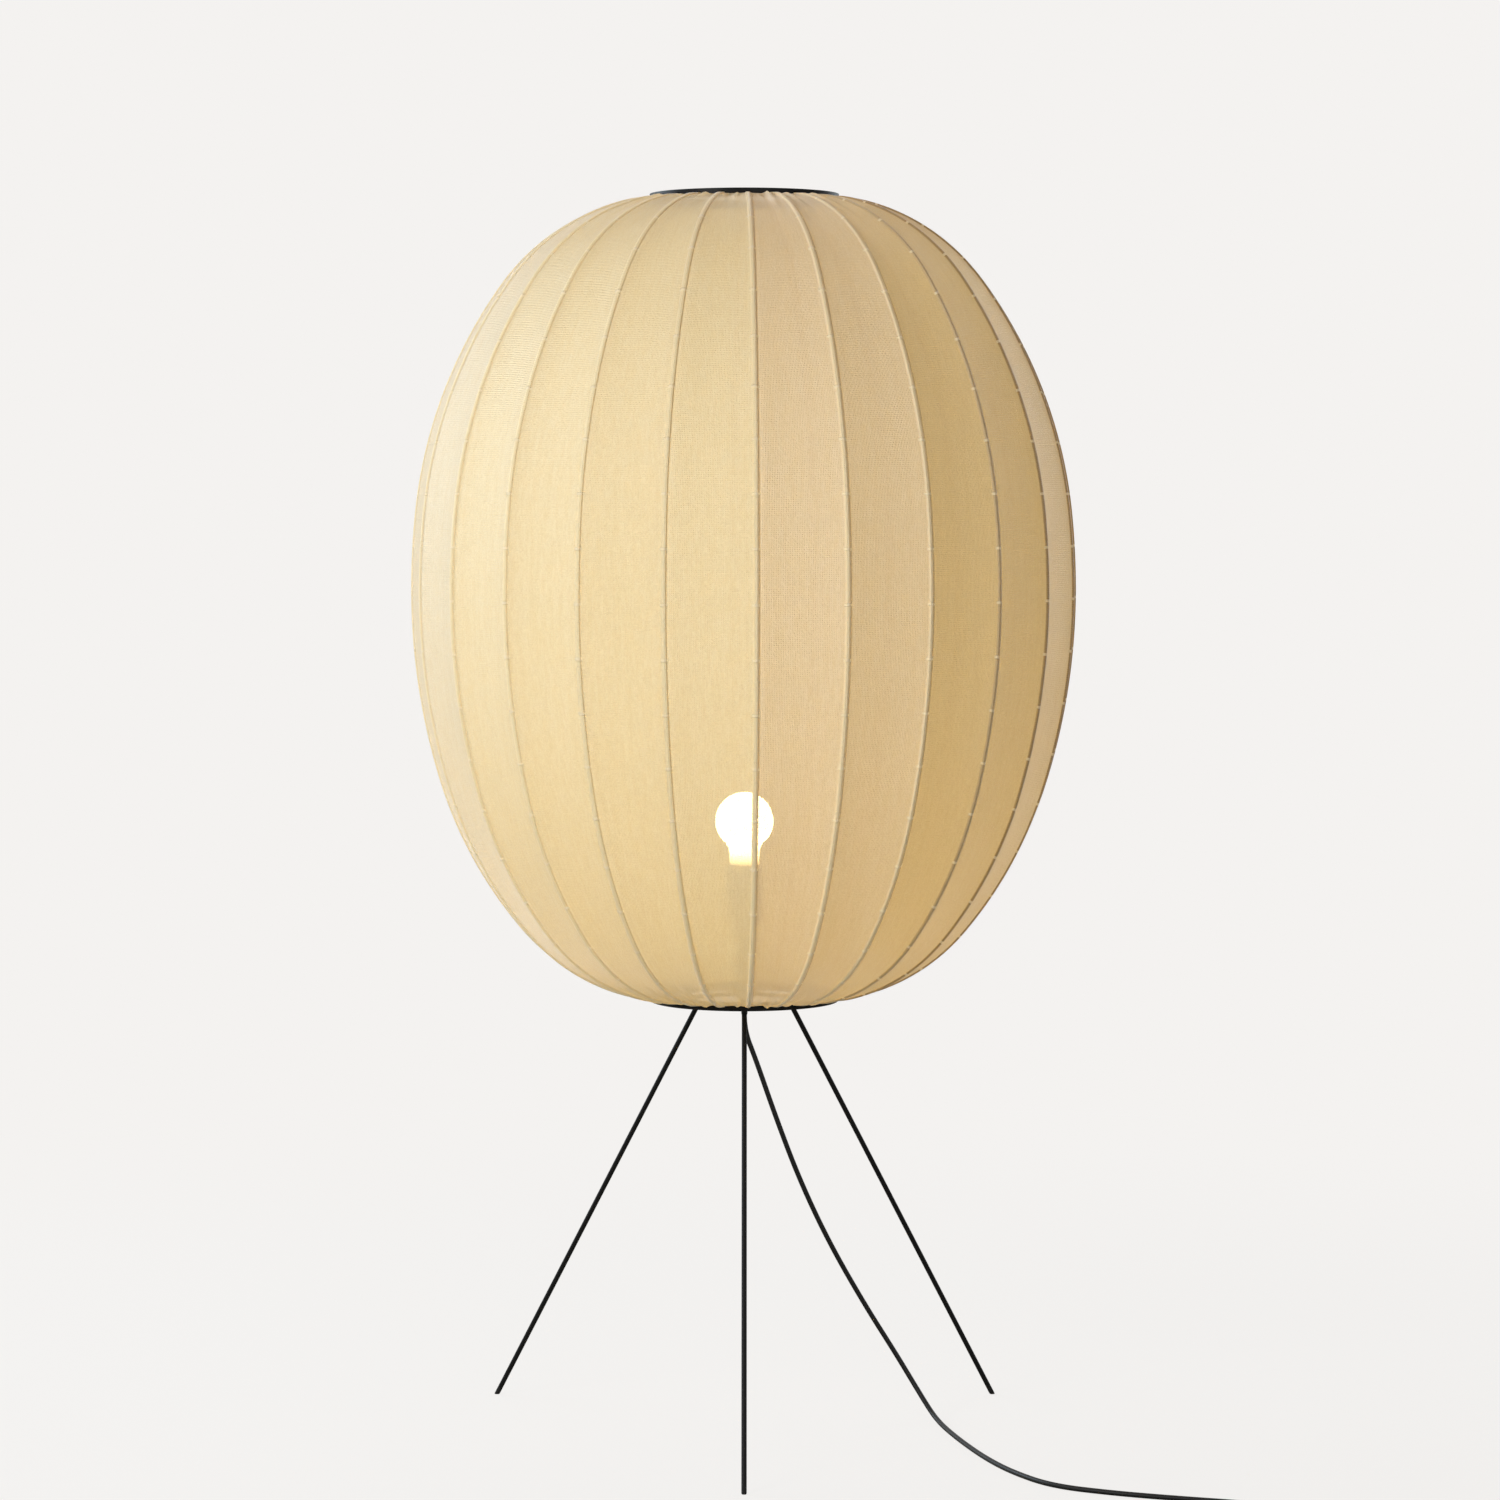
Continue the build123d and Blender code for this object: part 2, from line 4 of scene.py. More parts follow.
import bmesh
import bpy
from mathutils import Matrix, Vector


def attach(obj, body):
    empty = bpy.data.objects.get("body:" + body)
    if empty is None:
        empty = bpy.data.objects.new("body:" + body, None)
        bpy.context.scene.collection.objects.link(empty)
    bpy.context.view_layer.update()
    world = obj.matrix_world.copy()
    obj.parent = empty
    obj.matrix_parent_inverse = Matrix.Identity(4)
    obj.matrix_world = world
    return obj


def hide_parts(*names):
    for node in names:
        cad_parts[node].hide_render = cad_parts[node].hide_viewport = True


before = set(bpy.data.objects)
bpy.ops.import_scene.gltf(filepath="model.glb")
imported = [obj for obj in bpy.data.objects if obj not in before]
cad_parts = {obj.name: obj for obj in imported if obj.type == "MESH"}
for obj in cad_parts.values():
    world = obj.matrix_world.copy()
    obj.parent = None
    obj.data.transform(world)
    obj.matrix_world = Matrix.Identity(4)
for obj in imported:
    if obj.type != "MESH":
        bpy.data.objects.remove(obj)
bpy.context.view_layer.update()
print("frame loaded")


# ---- shader maths and nodes

class Wire:  # a socket that can be added and multiplied
    def __init__(self, paint, socket):
        self.paint, self.socket = paint, socket

    def math(self, operation, *others):
        values = {i: v for i, v in enumerate((self, *others))}
        return self.paint.add("ShaderNodeMath", {"operation": operation}, values)

    def __add__(self, other):
        return self.math("ADD", other)

    def __mul__(self, other):
        return self.math("MULTIPLY", other)

    def __sub__(self, other):
        return self.math("SUBTRACT", other)

    def __rsub__(self, other):
        return self.paint.add("ShaderNodeMath", {"operation": "SUBTRACT"}, {0: other, 1: self})

    def __truediv__(self, other):
        return self.math("DIVIDE", other)

    __radd__, __rmul__ = __add__, __mul__

    def band(self, low, high, a=0.0, b=1.0):  # a below low, b above high, smooth between
        return self.paint.add(
            "ShaderNodeMapRange", {"interpolation_type": "SMOOTHSTEP"},
            {"Value": self, "From Min": low, "From Max": high, "To Min": a, "To Max": b})

    def sine(self):
        return self.math("SINE")

    def part(self):  # what is left after the whole number
        return self.math("FRACT")


class Paint:  # one material and its nodes
    def __init__(self, name):
        self.material = bpy.data.materials.new(name)
        self.material.use_nodes = True
        self.tree = self.material.node_tree
        self.tree.nodes.clear()
        self.end = self.tree.nodes.new("ShaderNodeOutputMaterial")

    def add(self, kind, settings=None, values=None, out=0):
        node = self.tree.nodes.new(kind)
        for key, value in (settings or {}).items():
            setattr(node, key, value)
        for key, value in (values or {}).items():
            target = node.inputs[key]
            if isinstance(value, Wire):
                self.tree.links.new(value.socket, target)
            elif isinstance(value, tuple) and len(value) == 3 and target.type == "RGBA":
                target.default_value = (*value, 1.0)
            else:
                target.default_value = value
        return Wire(self, node.outputs[out])

    def mix(self, factor, a, b):  # two colours
        return self.add("ShaderNodeMix", {"data_type": "RGBA"}, {0: factor, 6: a, 7: b}, out=2)

    def noise(self, place, scale, detail=3.0, rough=0.5, **more):
        return self.add("ShaderNodeTexNoise", more,
                        {"Vector": place, "Scale": scale, "Detail": detail, "Roughness": rough})

    def place(self, stretch=(1, 1, 1)):  # the object's own place, stretched
        spot = self.add("ShaderNodeTexCoord", out=3)
        return self.add("ShaderNodeMapping", {}, {"Vector": spot, "Scale": stretch})

    def split(self, vector):  # its three numbers
        parts = self.add("ShaderNodeSeparateXYZ", {}, {0: vector}).socket.node.outputs
        return [Wire(self, part) for part in parts]

    def bump(self, height, distance, strength=1.0):
        return self.add("ShaderNodeBump", {}, {"Height": height, "Distance": distance, "Strength": strength})

    def finish(self, shader):
        self.tree.links.new(shader.socket, self.end.inputs["Surface"])
        return self.material


def srgb(r, g, b):  # screen colour, 0 to 255, as the linear one that sockets take
    return tuple(((c / 255 + 0.055) / 1.055) ** 2.4 if c > 10 else c / 255 / 12.92 for c in (r, g, b))


# ---- camera, floor and light

view = {
    "place": (0.0055, -4.150, 0.9133), "tilt": 86.62, "focalPixels": 4245.9, "framePixels": 1500,
    "background": srgb(244, 242, 240),
    "floorSeen": (srgb(240, 238, 235), srgb(236, 234, 231)), "floorBounce": (0.54, 0.52, 0.44), "floorRough": 0.9,
    "plainFrom": 0.5, "plainTo": 2.2, "plainLeast": 0.92,     # metres from the lamp, share of plain background
    "floorRadius": 40.0, "floorCorners": 48, "floorDrop": 0.0004,
}

light = {
    "aim": (0, 0, 0.8), "world": 0.0, "worldColour": (1.0, 1.0, 1.0),
    "bulb": 29.0, "bulbColour": (1.0, 0.72, 0.30), "bulbPale": (1.0, 0.92, 0.72),
    "neckRange": (0.5525, 0.574), "neckColour": (0.013, 0.008, 0.002),   # the neck glows less, metres up
    # name: power, turn from the front in degrees, distance and height in metres, size, colour
    "lamps": {
        "key": (79.0, -42, 3.3, 1.7, 1.3, (1.0, 1.0, 1.0)),
        "fill": (30.0, 20, 3.3, 1.3, 1.6, (0.96, 0.98, 1.0)),
        "rimLeft": (98.0, -118, 3.0, 1.7, 2.0, (0.72, 0.88, 1.0)),
        "rimRight": (30.0, 140, 3.0, 1.5, 1.8, (0.80, 0.92, 1.0)),
        "crown": (19.0, 180, 1.9, 3.4, 1.4, (1.0, 0.90, 0.75)),
    },
}


def makeCamera():
    data = bpy.data.cameras.new("camera")
    data.sensor_width = 36.0
    data.lens = view["focalPixels"] / view["framePixels"] * 36.0
    data.clip_end = 60.0
    camera = bpy.data.objects.new("camera", data)
    camera.location = view["place"]
    camera.rotation_euler = (math.radians(view["tilt"]), 0, 0)
    bpy.context.scene.collection.objects.link(camera)
    bpy.context.scene.camera = camera


def floorPaint():  # pale, with the lamp's faint shadow near it and the plain background far off
    paint = Paint("paleFloor")
    spot = paint.add("ShaderNodeNewGeometry", out=0)
    away = paint.add("ShaderNodeVectorMath", {"operation": "LENGTH"}, {0: spot}, out=1)
    mottle = paint.noise(spot, 3.0, 2.0)
    ray = paint.add("ShaderNodeLightPath", out=0)
    seen = paint.mix(mottle * 0.25, *view["floorSeen"])
    lit = paint.add("ShaderNodeBsdfPrincipled", {}, {
        "Base Color": paint.mix(ray, view["floorBounce"], seen), "Roughness": view["floorRough"]})
    plain = paint.add("ShaderNodeEmission", {}, {"Color": view["background"], "Strength": 1.0})
    share = away.band(view["plainFrom"], view["plainTo"], view["plainLeast"], 1.0) * ray
    return paint.finish(paint.add("ShaderNodeMixShader", {}, {0: share, 1: lit, 2: plain}))


def makeStage():
    mesh = bpy.data.meshes.new("floor")
    wide, count = view["floorRadius"], view["floorCorners"]
    ring = [(wide * math.cos(2 * math.pi * k / count), wide * math.sin(2 * math.pi * k / count), -view["floorDrop"])
            for k in range(count)]
    mesh.from_pydata(ring, [], [tuple(range(count))])
    mesh.materials.append(floorPaint())
    floor = bpy.data.objects.new("floor", mesh)
    bpy.context.scene.collection.objects.link(floor)

    world = bpy.data.worlds.new("studio")
    world.use_nodes = True
    tree = world.node_tree
    tree.nodes.clear()
    out, path = tree.nodes.new("ShaderNodeOutputWorld"), tree.nodes.new("ShaderNodeLightPath")
    seen, lit = tree.nodes.new("ShaderNodeBackground"), tree.nodes.new("ShaderNodeBackground")
    seen.inputs["Color"].default_value = (*view["background"], 1)
    lit.inputs["Color"].default_value = (*light["worldColour"], 1)
    lit.inputs["Strength"].default_value = light["world"]
    mix = tree.nodes.new("ShaderNodeMixShader")
    either, anyRay = tree.nodes.new("ShaderNodeMath"), tree.nodes.new("ShaderNodeMath")
    either.operation = anyRay.operation = "MAXIMUM"
    rays = [path.outputs[f"Is {kind} Ray"] for kind in ("Camera", "Glossy", "Transmission")]
    for a, b in ((rays[0], either.inputs[0]), (rays[1], either.inputs[1]),
                 (either.outputs[0], anyRay.inputs[0]), (rays[2], anyRay.inputs[1]),
                 (anyRay.outputs[0], mix.inputs[0]), (lit.outputs[0], mix.inputs[1]),
                 (seen.outputs[0], mix.inputs[2]), (mix.outputs[0], out.inputs["Surface"])):
        tree.links.new(a, b)
    bpy.context.scene.world = world


def makeLights():
    for name, (power, turn, away, height, size, colour) in light["lamps"].items():
        data = bpy.data.lights.new(name, "AREA")
        data.energy, data.size, data.color = power, size, colour
        lamp = bpy.data.objects.new(name, data)
        turn = math.radians(turn)
        lamp.location = (away * math.sin(turn), -away * math.cos(turn), height)
        lamp.visible_camera = False
        lamp.rotation_euler = (Vector(light["aim"]) - lamp.location).to_track_quat("-Z", "Y").to_euler()
        bpy.context.scene.collection.objects.link(lamp)


makeCamera()
makeStage()
makeLights()
bpy.context.scene.view_settings.view_transform = "Standard"
print("camera, floor and light")


# ---- finishes

def coatPaint(name, colour, rough, gloss, grain, bumpHeight=0.00006):
    # powder coat or moulded plastic: fine orange peel, slight wear in colour and gloss
    paint = Paint(name)
    spot = paint.place()
    fine = paint.noise(spot, grain, 2.0)
    broad = paint.noise(spot, 22.0, 4.0, 0.6)
    rub = broad.band(0.55, 0.8)
    lighter = tuple(c * 1.7 + 0.002 for c in colour)
    return paint.finish(paint.add("ShaderNodeBsdfPrincipled", {}, {
        "Base Color": paint.mix(rub * 0.5 + fine * 0.2, colour, lighter),
        "Roughness": rough + fine * 0.10 + broad * 0.10 - 0.08,
        "Specular IOR Level": gloss, "Normal": paint.bump(fine, bumpHeight, 0.6)}))


def metalPaint(name, colour, rough, stretch=(1, 1, 14)):
    paint = Paint(name)
    spot = paint.place(stretch)
    lines = paint.noise(spot, 260.0, 3.0)
    stain = paint.noise(paint.place(), 60.0, 4.0, 0.6)
    darker = tuple(c * 0.72 for c in colour)
    return paint.finish(paint.add("ShaderNodeBsdfPrincipled", {}, {
        "Base Color": paint.mix(stain.band(0.4, 0.75), colour, darker),
        "Metallic": 1.0, "Roughness": rough + lines * 0.16 + stain * 0.08 - 0.1,
        "Normal": paint.bump(lines, 0.00003, 0.5)}))


knit = {
    "pale": srgb(248, 242, 215), "warm": srgb(243, 234, 196), "chance": 0.35, "cloudy": 0.40,
    # panels tinted with painted light and shade, seen from the front: paler at both rims, pinker at the front right,
    # oranger in the shade on the right: the middle one, how many to each side, colour, amount
    "paintedLightPanels": [(1.0, 0.9, srgb(246, 232, 214), 0.7), (3.0, 0.9, srgb(243, 224, 184), 0.7),
                (5.0, 0.9, srgb(248, 238, 222), 0.7), (18.5, 1.2, srgb(252, 250, 234), 0.9)],
    # crease: a painted shade colour, used in the creases and over the channels
    "stitch": srgb(255, 249, 206), "stitchAmount": 0.6, "crease": srgb(118, 84, 44),
    "tack": srgb(255, 249, 220), "tackAmount": 0.9,
    "through": srgb(236, 198, 102), "throughShare": 0.75, "throughHoles": (1.0, 0.95, 0.84),
    "panels": 24, "walesInPanel": 52.0, "course": 0.0019, "waleSway": 0.9,
    # how often each kind of unevenness comes, a panel across and a metre along, its detail and roughness
    "crumb": (58.0, 640.0, 1.0, 0.5), "grit": (24.0, 200.0, 3.0, 0.7), "slub": (30.0, 60.0, 3.0, 0.6),
    "longSlub": (13.0, 9.0, 3.0, 0.6), "cloud": (1.4, 7.0, 3.0, 0.5),
    "threadDark": 0.10, "streakDark": 0.14,
    # after edge: where painted shade lies in the creases and over the channels, and how strong it is
    "edge": (0.0020, 0.0027), "channelShadeEdge": (0.0020, 0.0031), "creaseAt": 0.0027, "creaseWide": (0.0004, 0.0011),
    "creaseAmounts": (0.08, 0.92), "channelShadeAmount": 0.8,
    "stitchSpacing": 0.0505, "stitchStart": 0.73, "stitchReach": 0.0042, "stitchFade": 0.0008,
    "stitchHeight": (0.018, 0.034),      # share of the spacing to each side
    "open": 0.10, "openFrom": (0.0022, 0.0034),
    "translucent": 0.36, "rough": 0.5, "gloss": 0.9, "sheen": 1.0, "sheenRough": 0.3,
    "bump": 0.00075, "bumpStrength": 0.6,
}


def knitPaint():
    paint = Paint("knitted fabric")
    weave = paint.add("ShaderNodeUVMap", {"uv_map": "weave"})   # across: panels, along: metres
    seam = paint.add("ShaderNodeUVMap", {"uv_map": "seam"})     # across: metres from the rib's plane
    across, along, _ = paint.split(weave)
    fromRib = paint.split(seam)[0]

    def uneven(kind):
        sx, sy, detail, rough = knit[kind]
        stretched = paint.add("ShaderNodeMapping", {}, {"Vector": weave, "Scale": (sx, sy, 1)})
        return paint.noise(stretched, 1.0, detail, rough)

    # stitches in wales and courses, crumbs of uneven yarn, and faint slubs that run down the panels
    wale = (across * (2 * math.pi * knit["walesInPanel"])).sine()
    rows = (along * (2 * math.pi / knit["course"]) + wale * knit["waleSway"]).sine()
    streak = uneven("slub") * 0.6 + uneven("longSlub") * 0.4
    thread = uneven("crumb") * 0.6 + uneven("grit") * 0.4

    # each panel has its own slight random tint, and some panels a tint of painted light or shade
    chance = paint.add("ShaderNodeTexWhiteNoise", {"noise_dimensions": "1D"}, {"W": across.math("FLOOR")})
    tint = paint.mix(chance * knit["chance"] + uneven("cloud") * knit["cloudy"], knit["pale"], knit["warm"])
    step = 2 * math.pi / knit["panels"]
    panel = across.math("FLOOR") + 0.5
    # painted light and shade by panel: paler rims, pinker front right, oranger shaded right
    for middle, spread, colour, amount in knit["paintedLightPanels"]:
        near = (panel * step + (math.pi / 2 - middle * step)).sine()
        low, high = math.cos((spread + 0.6) * step), math.cos((spread - 0.1) * step)
        tint = paint.mix(near.band(low, high) * amount, tint, colour)
    dark = thread.band(0.34, 0.66, knit["threadDark"], 0.0) + streak.band(0.35, 0.65, knit["streakDark"], 0.0)
    tint = paint.mix(dark, tint, knit["through"])

    # the doubled edge of each channel; painted shade in the crease at one side of each ridge, stronger towards the
    # lamp's +X side; and painted shade over the channels on that side, away from the key lamp
    tint = paint.mix(fromRib.band(*knit["edge"], 1.0, 0.0) * knit["stitchAmount"], tint, knit["stitch"])
    shadedSideOfRib = across.part().band(0.4, 0.6, 1.0, 0.0)      # each ridge's +u side, its right side seen from the front, where the crease gets painted shade
    # painted shade in the creases grows towards the +X side of the lamp, away from the key lamp
    turned = (across * step).sine().band(-0.4, 0.9, *knit["creaseAmounts"])
    crease = (fromRib - knit["creaseAt"]).math("ABSOLUTE").band(*knit["creaseWide"], 1.0, 0.0)
    tint = paint.mix(crease * shadedSideOfRib * turned, tint, knit["crease"])
    # painted shade over whole channels on the lamp's +X side, away from the key lamp
    paintedChannelShade = (across * step).sine().band(0.35, 0.95, 0.0, knit["channelShadeAmount"])
    tint = paint.mix(fromRib.band(*knit["channelShadeEdge"], 1.0, 0.0) * paintedChannelShade, tint, knit["crease"])

    # a tacking stitch across the channel at each beat
    beat = (along / knit["stitchSpacing"] + knit["stitchStart"]).part()
    onBeat = (beat - 0.5).math("ABSOLUTE").band(*knit["stitchHeight"], 1.0, 0.0)
    tack = onBeat * fromRib.band(knit["stitchReach"] - knit["stitchFade"], knit["stitchReach"], 1.0, 0.0)
    tint = paint.mix(tack * knit["tackAmount"], tint, knit["tack"])

    height = wale * 0.25 + rows * 0.25 + thread * 3.0 + streak * 1.0 + tack * 2.0
    normal = paint.bump(height, knit["bump"], knit["bumpStrength"])
    body = paint.add("ShaderNodeBsdfPrincipled", {}, {
        "Base Color": tint, "Roughness": knit["rough"], "Specular IOR Level": knit["gloss"],
        "Sheen Weight": knit["sheen"], "Sheen Roughness": knit["sheenRough"], "Normal": normal})
    inside = paint.mix(knit["throughShare"], tint, knit["through"])
    glow = paint.add("ShaderNodeBsdfTranslucent", {}, {"Color": inside, "Normal": normal})
    cloth = paint.add("ShaderNodeMixShader", {}, {0: knit["translucent"], 1: body, 2: glow})

    # fine gaps between the stitches, none over the ribs
    holes = paint.add("ShaderNodeBsdfTransparent", {}, {"Color": knit["throughHoles"]})
    onPanel = fromRib.band(*knit["openFrom"], 0.0, 1.0)
    gap = (thread * 0.7 + streak * 0.3).band(0.3, 0.7, 1.5, 0.5) * knit["open"] * onPanel
    return paint.finish(paint.add("ShaderNodeMixShader", {}, {0: gap, 1: cloth, 2: holes}))


def sleevePaint():  # pale ribs that let some light through
    paint = Paint("rib sleeve")
    spot = paint.place((1, 1, 0.25))
    fine = paint.noise(spot, 900.0, 3.0, 0.6)
    broad = paint.noise(spot, 60.0, 3.0)
    tint = paint.mix(fine * 0.5 + broad * 0.4, srgb(250, 240, 208), srgb(244, 226, 182))
    normal = paint.bump(fine, 0.0002, 0.6)
    body = paint.add("ShaderNodeBsdfPrincipled", {}, {"Base Color": tint, "Roughness": 0.6, "Normal": normal})
    glow = paint.add("ShaderNodeBsdfTranslucent", {}, {"Color": tint, "Normal": normal})
    return paint.finish(paint.add("ShaderNodeMixShader", {}, {0: 0.35, 1: body, 2: glow}))


def opalPaint():
    paint = Paint("lit opal bulb")
    spot = paint.place()
    cloud = paint.noise(spot, 40.0, 2.0)
    height = paint.split(spot)[2]
    lit = paint.mix(cloud * 0.3, light["bulbColour"], light["bulbPale"])
    return paint.finish(paint.add("ShaderNodeBsdfPrincipled", {}, {
        "Base Color": srgb(250, 246, 236), "Roughness": 0.25,
        "Emission Color": paint.mix(height.band(*light["neckRange"]), light["neckColour"], lit),
        "Emission Strength": light["bulb"]}))


def porcelainPaint():
    paint = Paint("white insert")
    spot = paint.place()
    fine, broad = paint.noise(spot, 500.0, 2.0), paint.noise(spot, 35.0, 3.0)
    return paint.finish(paint.add("ShaderNodeBsdfPrincipled", {}, {
        "Base Color": paint.mix(broad * 0.4, srgb(236, 234, 228), srgb(220, 216, 206)),
        "Roughness": 0.35 + fine * 0.12, "Normal": paint.bump(fine, 0.00004, 0.5)}))


def cordPaint():
    paint = Paint("black cord")
    spot = paint.place()
    fine, broad = paint.noise(spot, 1400.0, 2.0), paint.noise(spot, 18.0, 3.0)
    return paint.finish(paint.add("ShaderNodeBsdfPrincipled", {}, {
        "Base Color": paint.mix(broad * 0.6 + fine * 0.2, (0.0045, 0.0043, 0.0043), (0.008, 0.0076, 0.0076)),
        "Roughness": 0.42 + broad * 0.15, "Specular IOR Level": 0.18,
        "Normal": paint.bump(fine, 0.00005, 0.6)}))


paints = {
    "knit": knitPaint(), "rib": sleevePaint(), "opal": opalPaint(), "white_plastic": porcelainPaint(),
    "black_metal": coatPaint("black powder coat", (0.0045, 0.0042, 0.0042), 0.44, 0.10, 1300.0),
    "black_plastic": coatPaint("black moulded plastic", (0.008, 0.008, 0.0083), 0.48, 0.25, 2200.0, 0.00003),
    "rubber_tip": coatPaint("black rubber", (0.008, 0.0076, 0.0074), 0.72, 0.15, 1800.0),
    "cord_black": cordPaint(),
    "steel": metalPaint("zinc plated steel", (0.56, 0.56, 0.57), 0.34),
    "brass": metalPaint("brass", (0.78, 0.58, 0.28), 0.28),
    "nickel": metalPaint("nickel plate", (0.70, 0.68, 0.64), 0.22),
}
print("finishes")


# ---- mesh helpers

def putPiece(name, mesh, slot, body, *nodes):
    piece = bpy.data.objects.new(name, mesh)
    bpy.context.scene.collection.objects.link(piece)
    if not mesh.materials:
        mesh.materials.append(paints[slot])
    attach(piece, body)
    if nodes:
        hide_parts(*nodes)
    return piece


def closeUp(mesh):  # merge doubles and turn faces outwards
    work = bmesh.new()
    work.from_mesh(mesh)
    bmesh.ops.remove_doubles(work, verts=work.verts, dist=1e-7)
    bmesh.ops.recalc_face_normals(work, faces=work.faces)
    work.to_mesh(mesh)
    work.free()


def sharpen(mesh, degrees=40.0):  # smooth faces, sharp where the surface really turns
    mesh.polygons.foreach_set("use_smooth", [True] * len(mesh.polygons))
    work = bmesh.new()
    work.from_mesh(mesh)
    for edge in work.edges:
        edge.smooth = len(edge.link_faces) == 2 and edge.calc_face_angle(0.0) < math.radians(degrees)
    work.to_mesh(mesh)
    work.free()


def lathe(name, line, sides=64, centre=(0, 0)):  # (radius, z) in metres, turned about an upright axis
    points, faces = [], []
    for k in range(sides):
        a = 2 * math.pi * k / sides
        points += [(centre[0] + r * math.cos(a), centre[1] + r * math.sin(a), z) for r, z in line]
    n = len(line)
    for k in range(sides):
        for i in range(n - 1):
            a, b = k * n + i, (k + 1) % sides * n + i
            faces.append((a, b, b + 1, a + 1))
    mesh = bpy.data.meshes.new(name)
    mesh.from_pydata(points, [], faces)
    closeUp(mesh)
    sharpen(mesh)
    return mesh


def loft(name, rings, closeEnds=True):  # closed rings of points, one after the other
    n = len(rings[0])
    points = [p for ring in rings for p in ring]
    faces = [(i * n + k, i * n + (k + 1) % n, (i + 1) * n + (k + 1) % n, (i + 1) * n + k)
             for i in range(len(rings) - 1) for k in range(n)]
    if closeEnds:
        faces += [tuple(range(n))[::-1], tuple(range((len(rings) - 1) * n, len(rings) * n))]
    mesh = bpy.data.meshes.new(name)
    mesh.from_pydata(points, [], faces)
    closeUp(mesh)
    sharpen(mesh)
    return mesh


def tubeAlong(name, line, radius, sides=20, taper=None):  # round tube through points
    line = [Vector(p) for p in line]
    rings, side = [], None
    for i, p in enumerate(line):
        ahead = (line[min(i + 1, len(line) - 1)] - line[max(i - 1, 0)]).normalized()
        if side is None:
            side = ahead.orthogonal().normalized()
        side = (side - ahead * side.dot(ahead)).normalized()
        up = ahead.cross(side)
        r = radius if taper is None else taper[i]
        rings.append([p + side * (r * math.cos(a)) + up * (r * math.sin(a))
                      for a in (2 * math.pi * k / sides for k in range(sides))])
    return loft(name, rings)


def roundedRing(length, width, corner, z, centre, steps=6):
    x, y = length / 2 - corner, width / 2 - corner
    ring = []
    for cx, cy, start in ((x, y, 0), (-x, y, 90), (-x, -y, 180), (x, -y, 270)):
        for i in range(steps + 1):
            a = math.radians(start + 90 * i / steps)
            ring.append((centre[0] + cx + corner * math.cos(a), centre[1] + cy + corner * math.sin(a), z))
    return ring


# ---- the cords, as the CAD lays them

mm = 0.001
cordRoute = [
    (0, 0, 408), (0, 0, 392), (11, 0.5, 364), (31, 4.2, 305.5), (54.5, 13.5, 242), (84, 27, 177),
    (120, 39.5, 112), (150, 43.5, 64), (170, 40, 31), (185.5, 22, 8.1), (193, -1, 2.5), (199, -34, 2.5),
    (212, -92, 2.5), (230, -158, 2.5), (251, -214, 2.5), (284, -270, 2.5), (338, -299, 2.5),
    (396, -320, 2.5), (452, -337, 2.5), (502, -360, 2.5), (536, -395, 2.5), (545, -428, 2.5),
    (535, -453, 2.5), (513, -464, 3.7), (488, -464, 3.7),
]
tailRoute = [(380, -464, 3.7), (366, -464, 3.7), (353, -464, 3.7)]
endRoute = [(343, -464, 9.3), (328, -464, 9.3), (310, -466, 7.6), (293, -466.4, 7), (276, -466.4, 7)]
coil = {"start": (348, -464), "radius": 32.5, "pitch": 5.6, "layerTurns": 1.25, "low": 3.7, "perTurn": 16}


def coilPoint(t):  # in at a steady rate, up a layer where it turns back, out again
    middle = coil["layerTurns"] + 0.25
    s = t - middle
    spread = 2 * s * s if abs(s) <= 0.25 else abs(s) - 0.125
    u = min(max(s + 0.25, 0), 0.5) * 2
    r = coil["radius"] + coil["pitch"] * (spread - middle + 0.125)
    r /= 0.25 * math.cos(2 * math.pi / coil["perTurn"]) + 0.75  # the spline cuts inside its points
    a = -math.pi / 2 - 2 * math.pi * t
    return (coil["start"][0] + r * math.cos(a), coil["start"][1] + coil["radius"] + r * math.sin(a),
            coil["low"] + coil["pitch"] * u * u * (3 - 2 * u))


def layCord(name, route, *nodes):
    curve = bpy.data.curves.new(name, "CURVE")
    curve.dimensions = "3D"
    spline = curve.splines.new("NURBS")
    spline.points.add(len(route) - 1)
    for point, place in zip(spline.points, route):
        point.co = (*(c * mm for c in place), 1.0)
    spline.order_u = 3
    spline.use_endpoint_u = True
    spline.resolution_u = 10
    curve.bevel_depth = 2.5 * mm
    curve.bevel_resolution = 5
    curve.use_fill_caps = True
    curve.materials.append(paints["cord_black"])
    piece = bpy.data.objects.new(name, curve)
    bpy.context.scene.collection.objects.link(piece)
    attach(piece, "lamp")
    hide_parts(*nodes)
    return piece


coilTurns = 2 * coil["layerTurns"] + 0.5
coilSteps = round(coilTurns * coil["perTurn"])
coilPoints = [coilPoint(coilTurns * i / coilSteps) for i in range(coilSteps + 1)]
supplyCord = layCord("supply_cord", cordRoute, "cord")
plugCord = layCord("plug_cord", tailRoute + coilPoints + endRoute, "cord_tail", "cord_coil", "cord_end")
print("cords")


# ---- shade outline, from the ring at the top to the one below

# metres; slopes in degrees from level, at the ring and where its three arcs join; a share is of the height
shade = {
    "radius": 0.325, "top": 1.2066, "widest": 0.823, "bottom": 0.4244, "end": 0.093585,
    "topSlopes": (7, 54, 84), "topShare": 1.2, "bottomSlopes": (7.8, 50, 73), "bottomShare": 1.03,
    "ribs": 24, "turn": 2.0, "rows": 190, "arcSteps": 60,
}


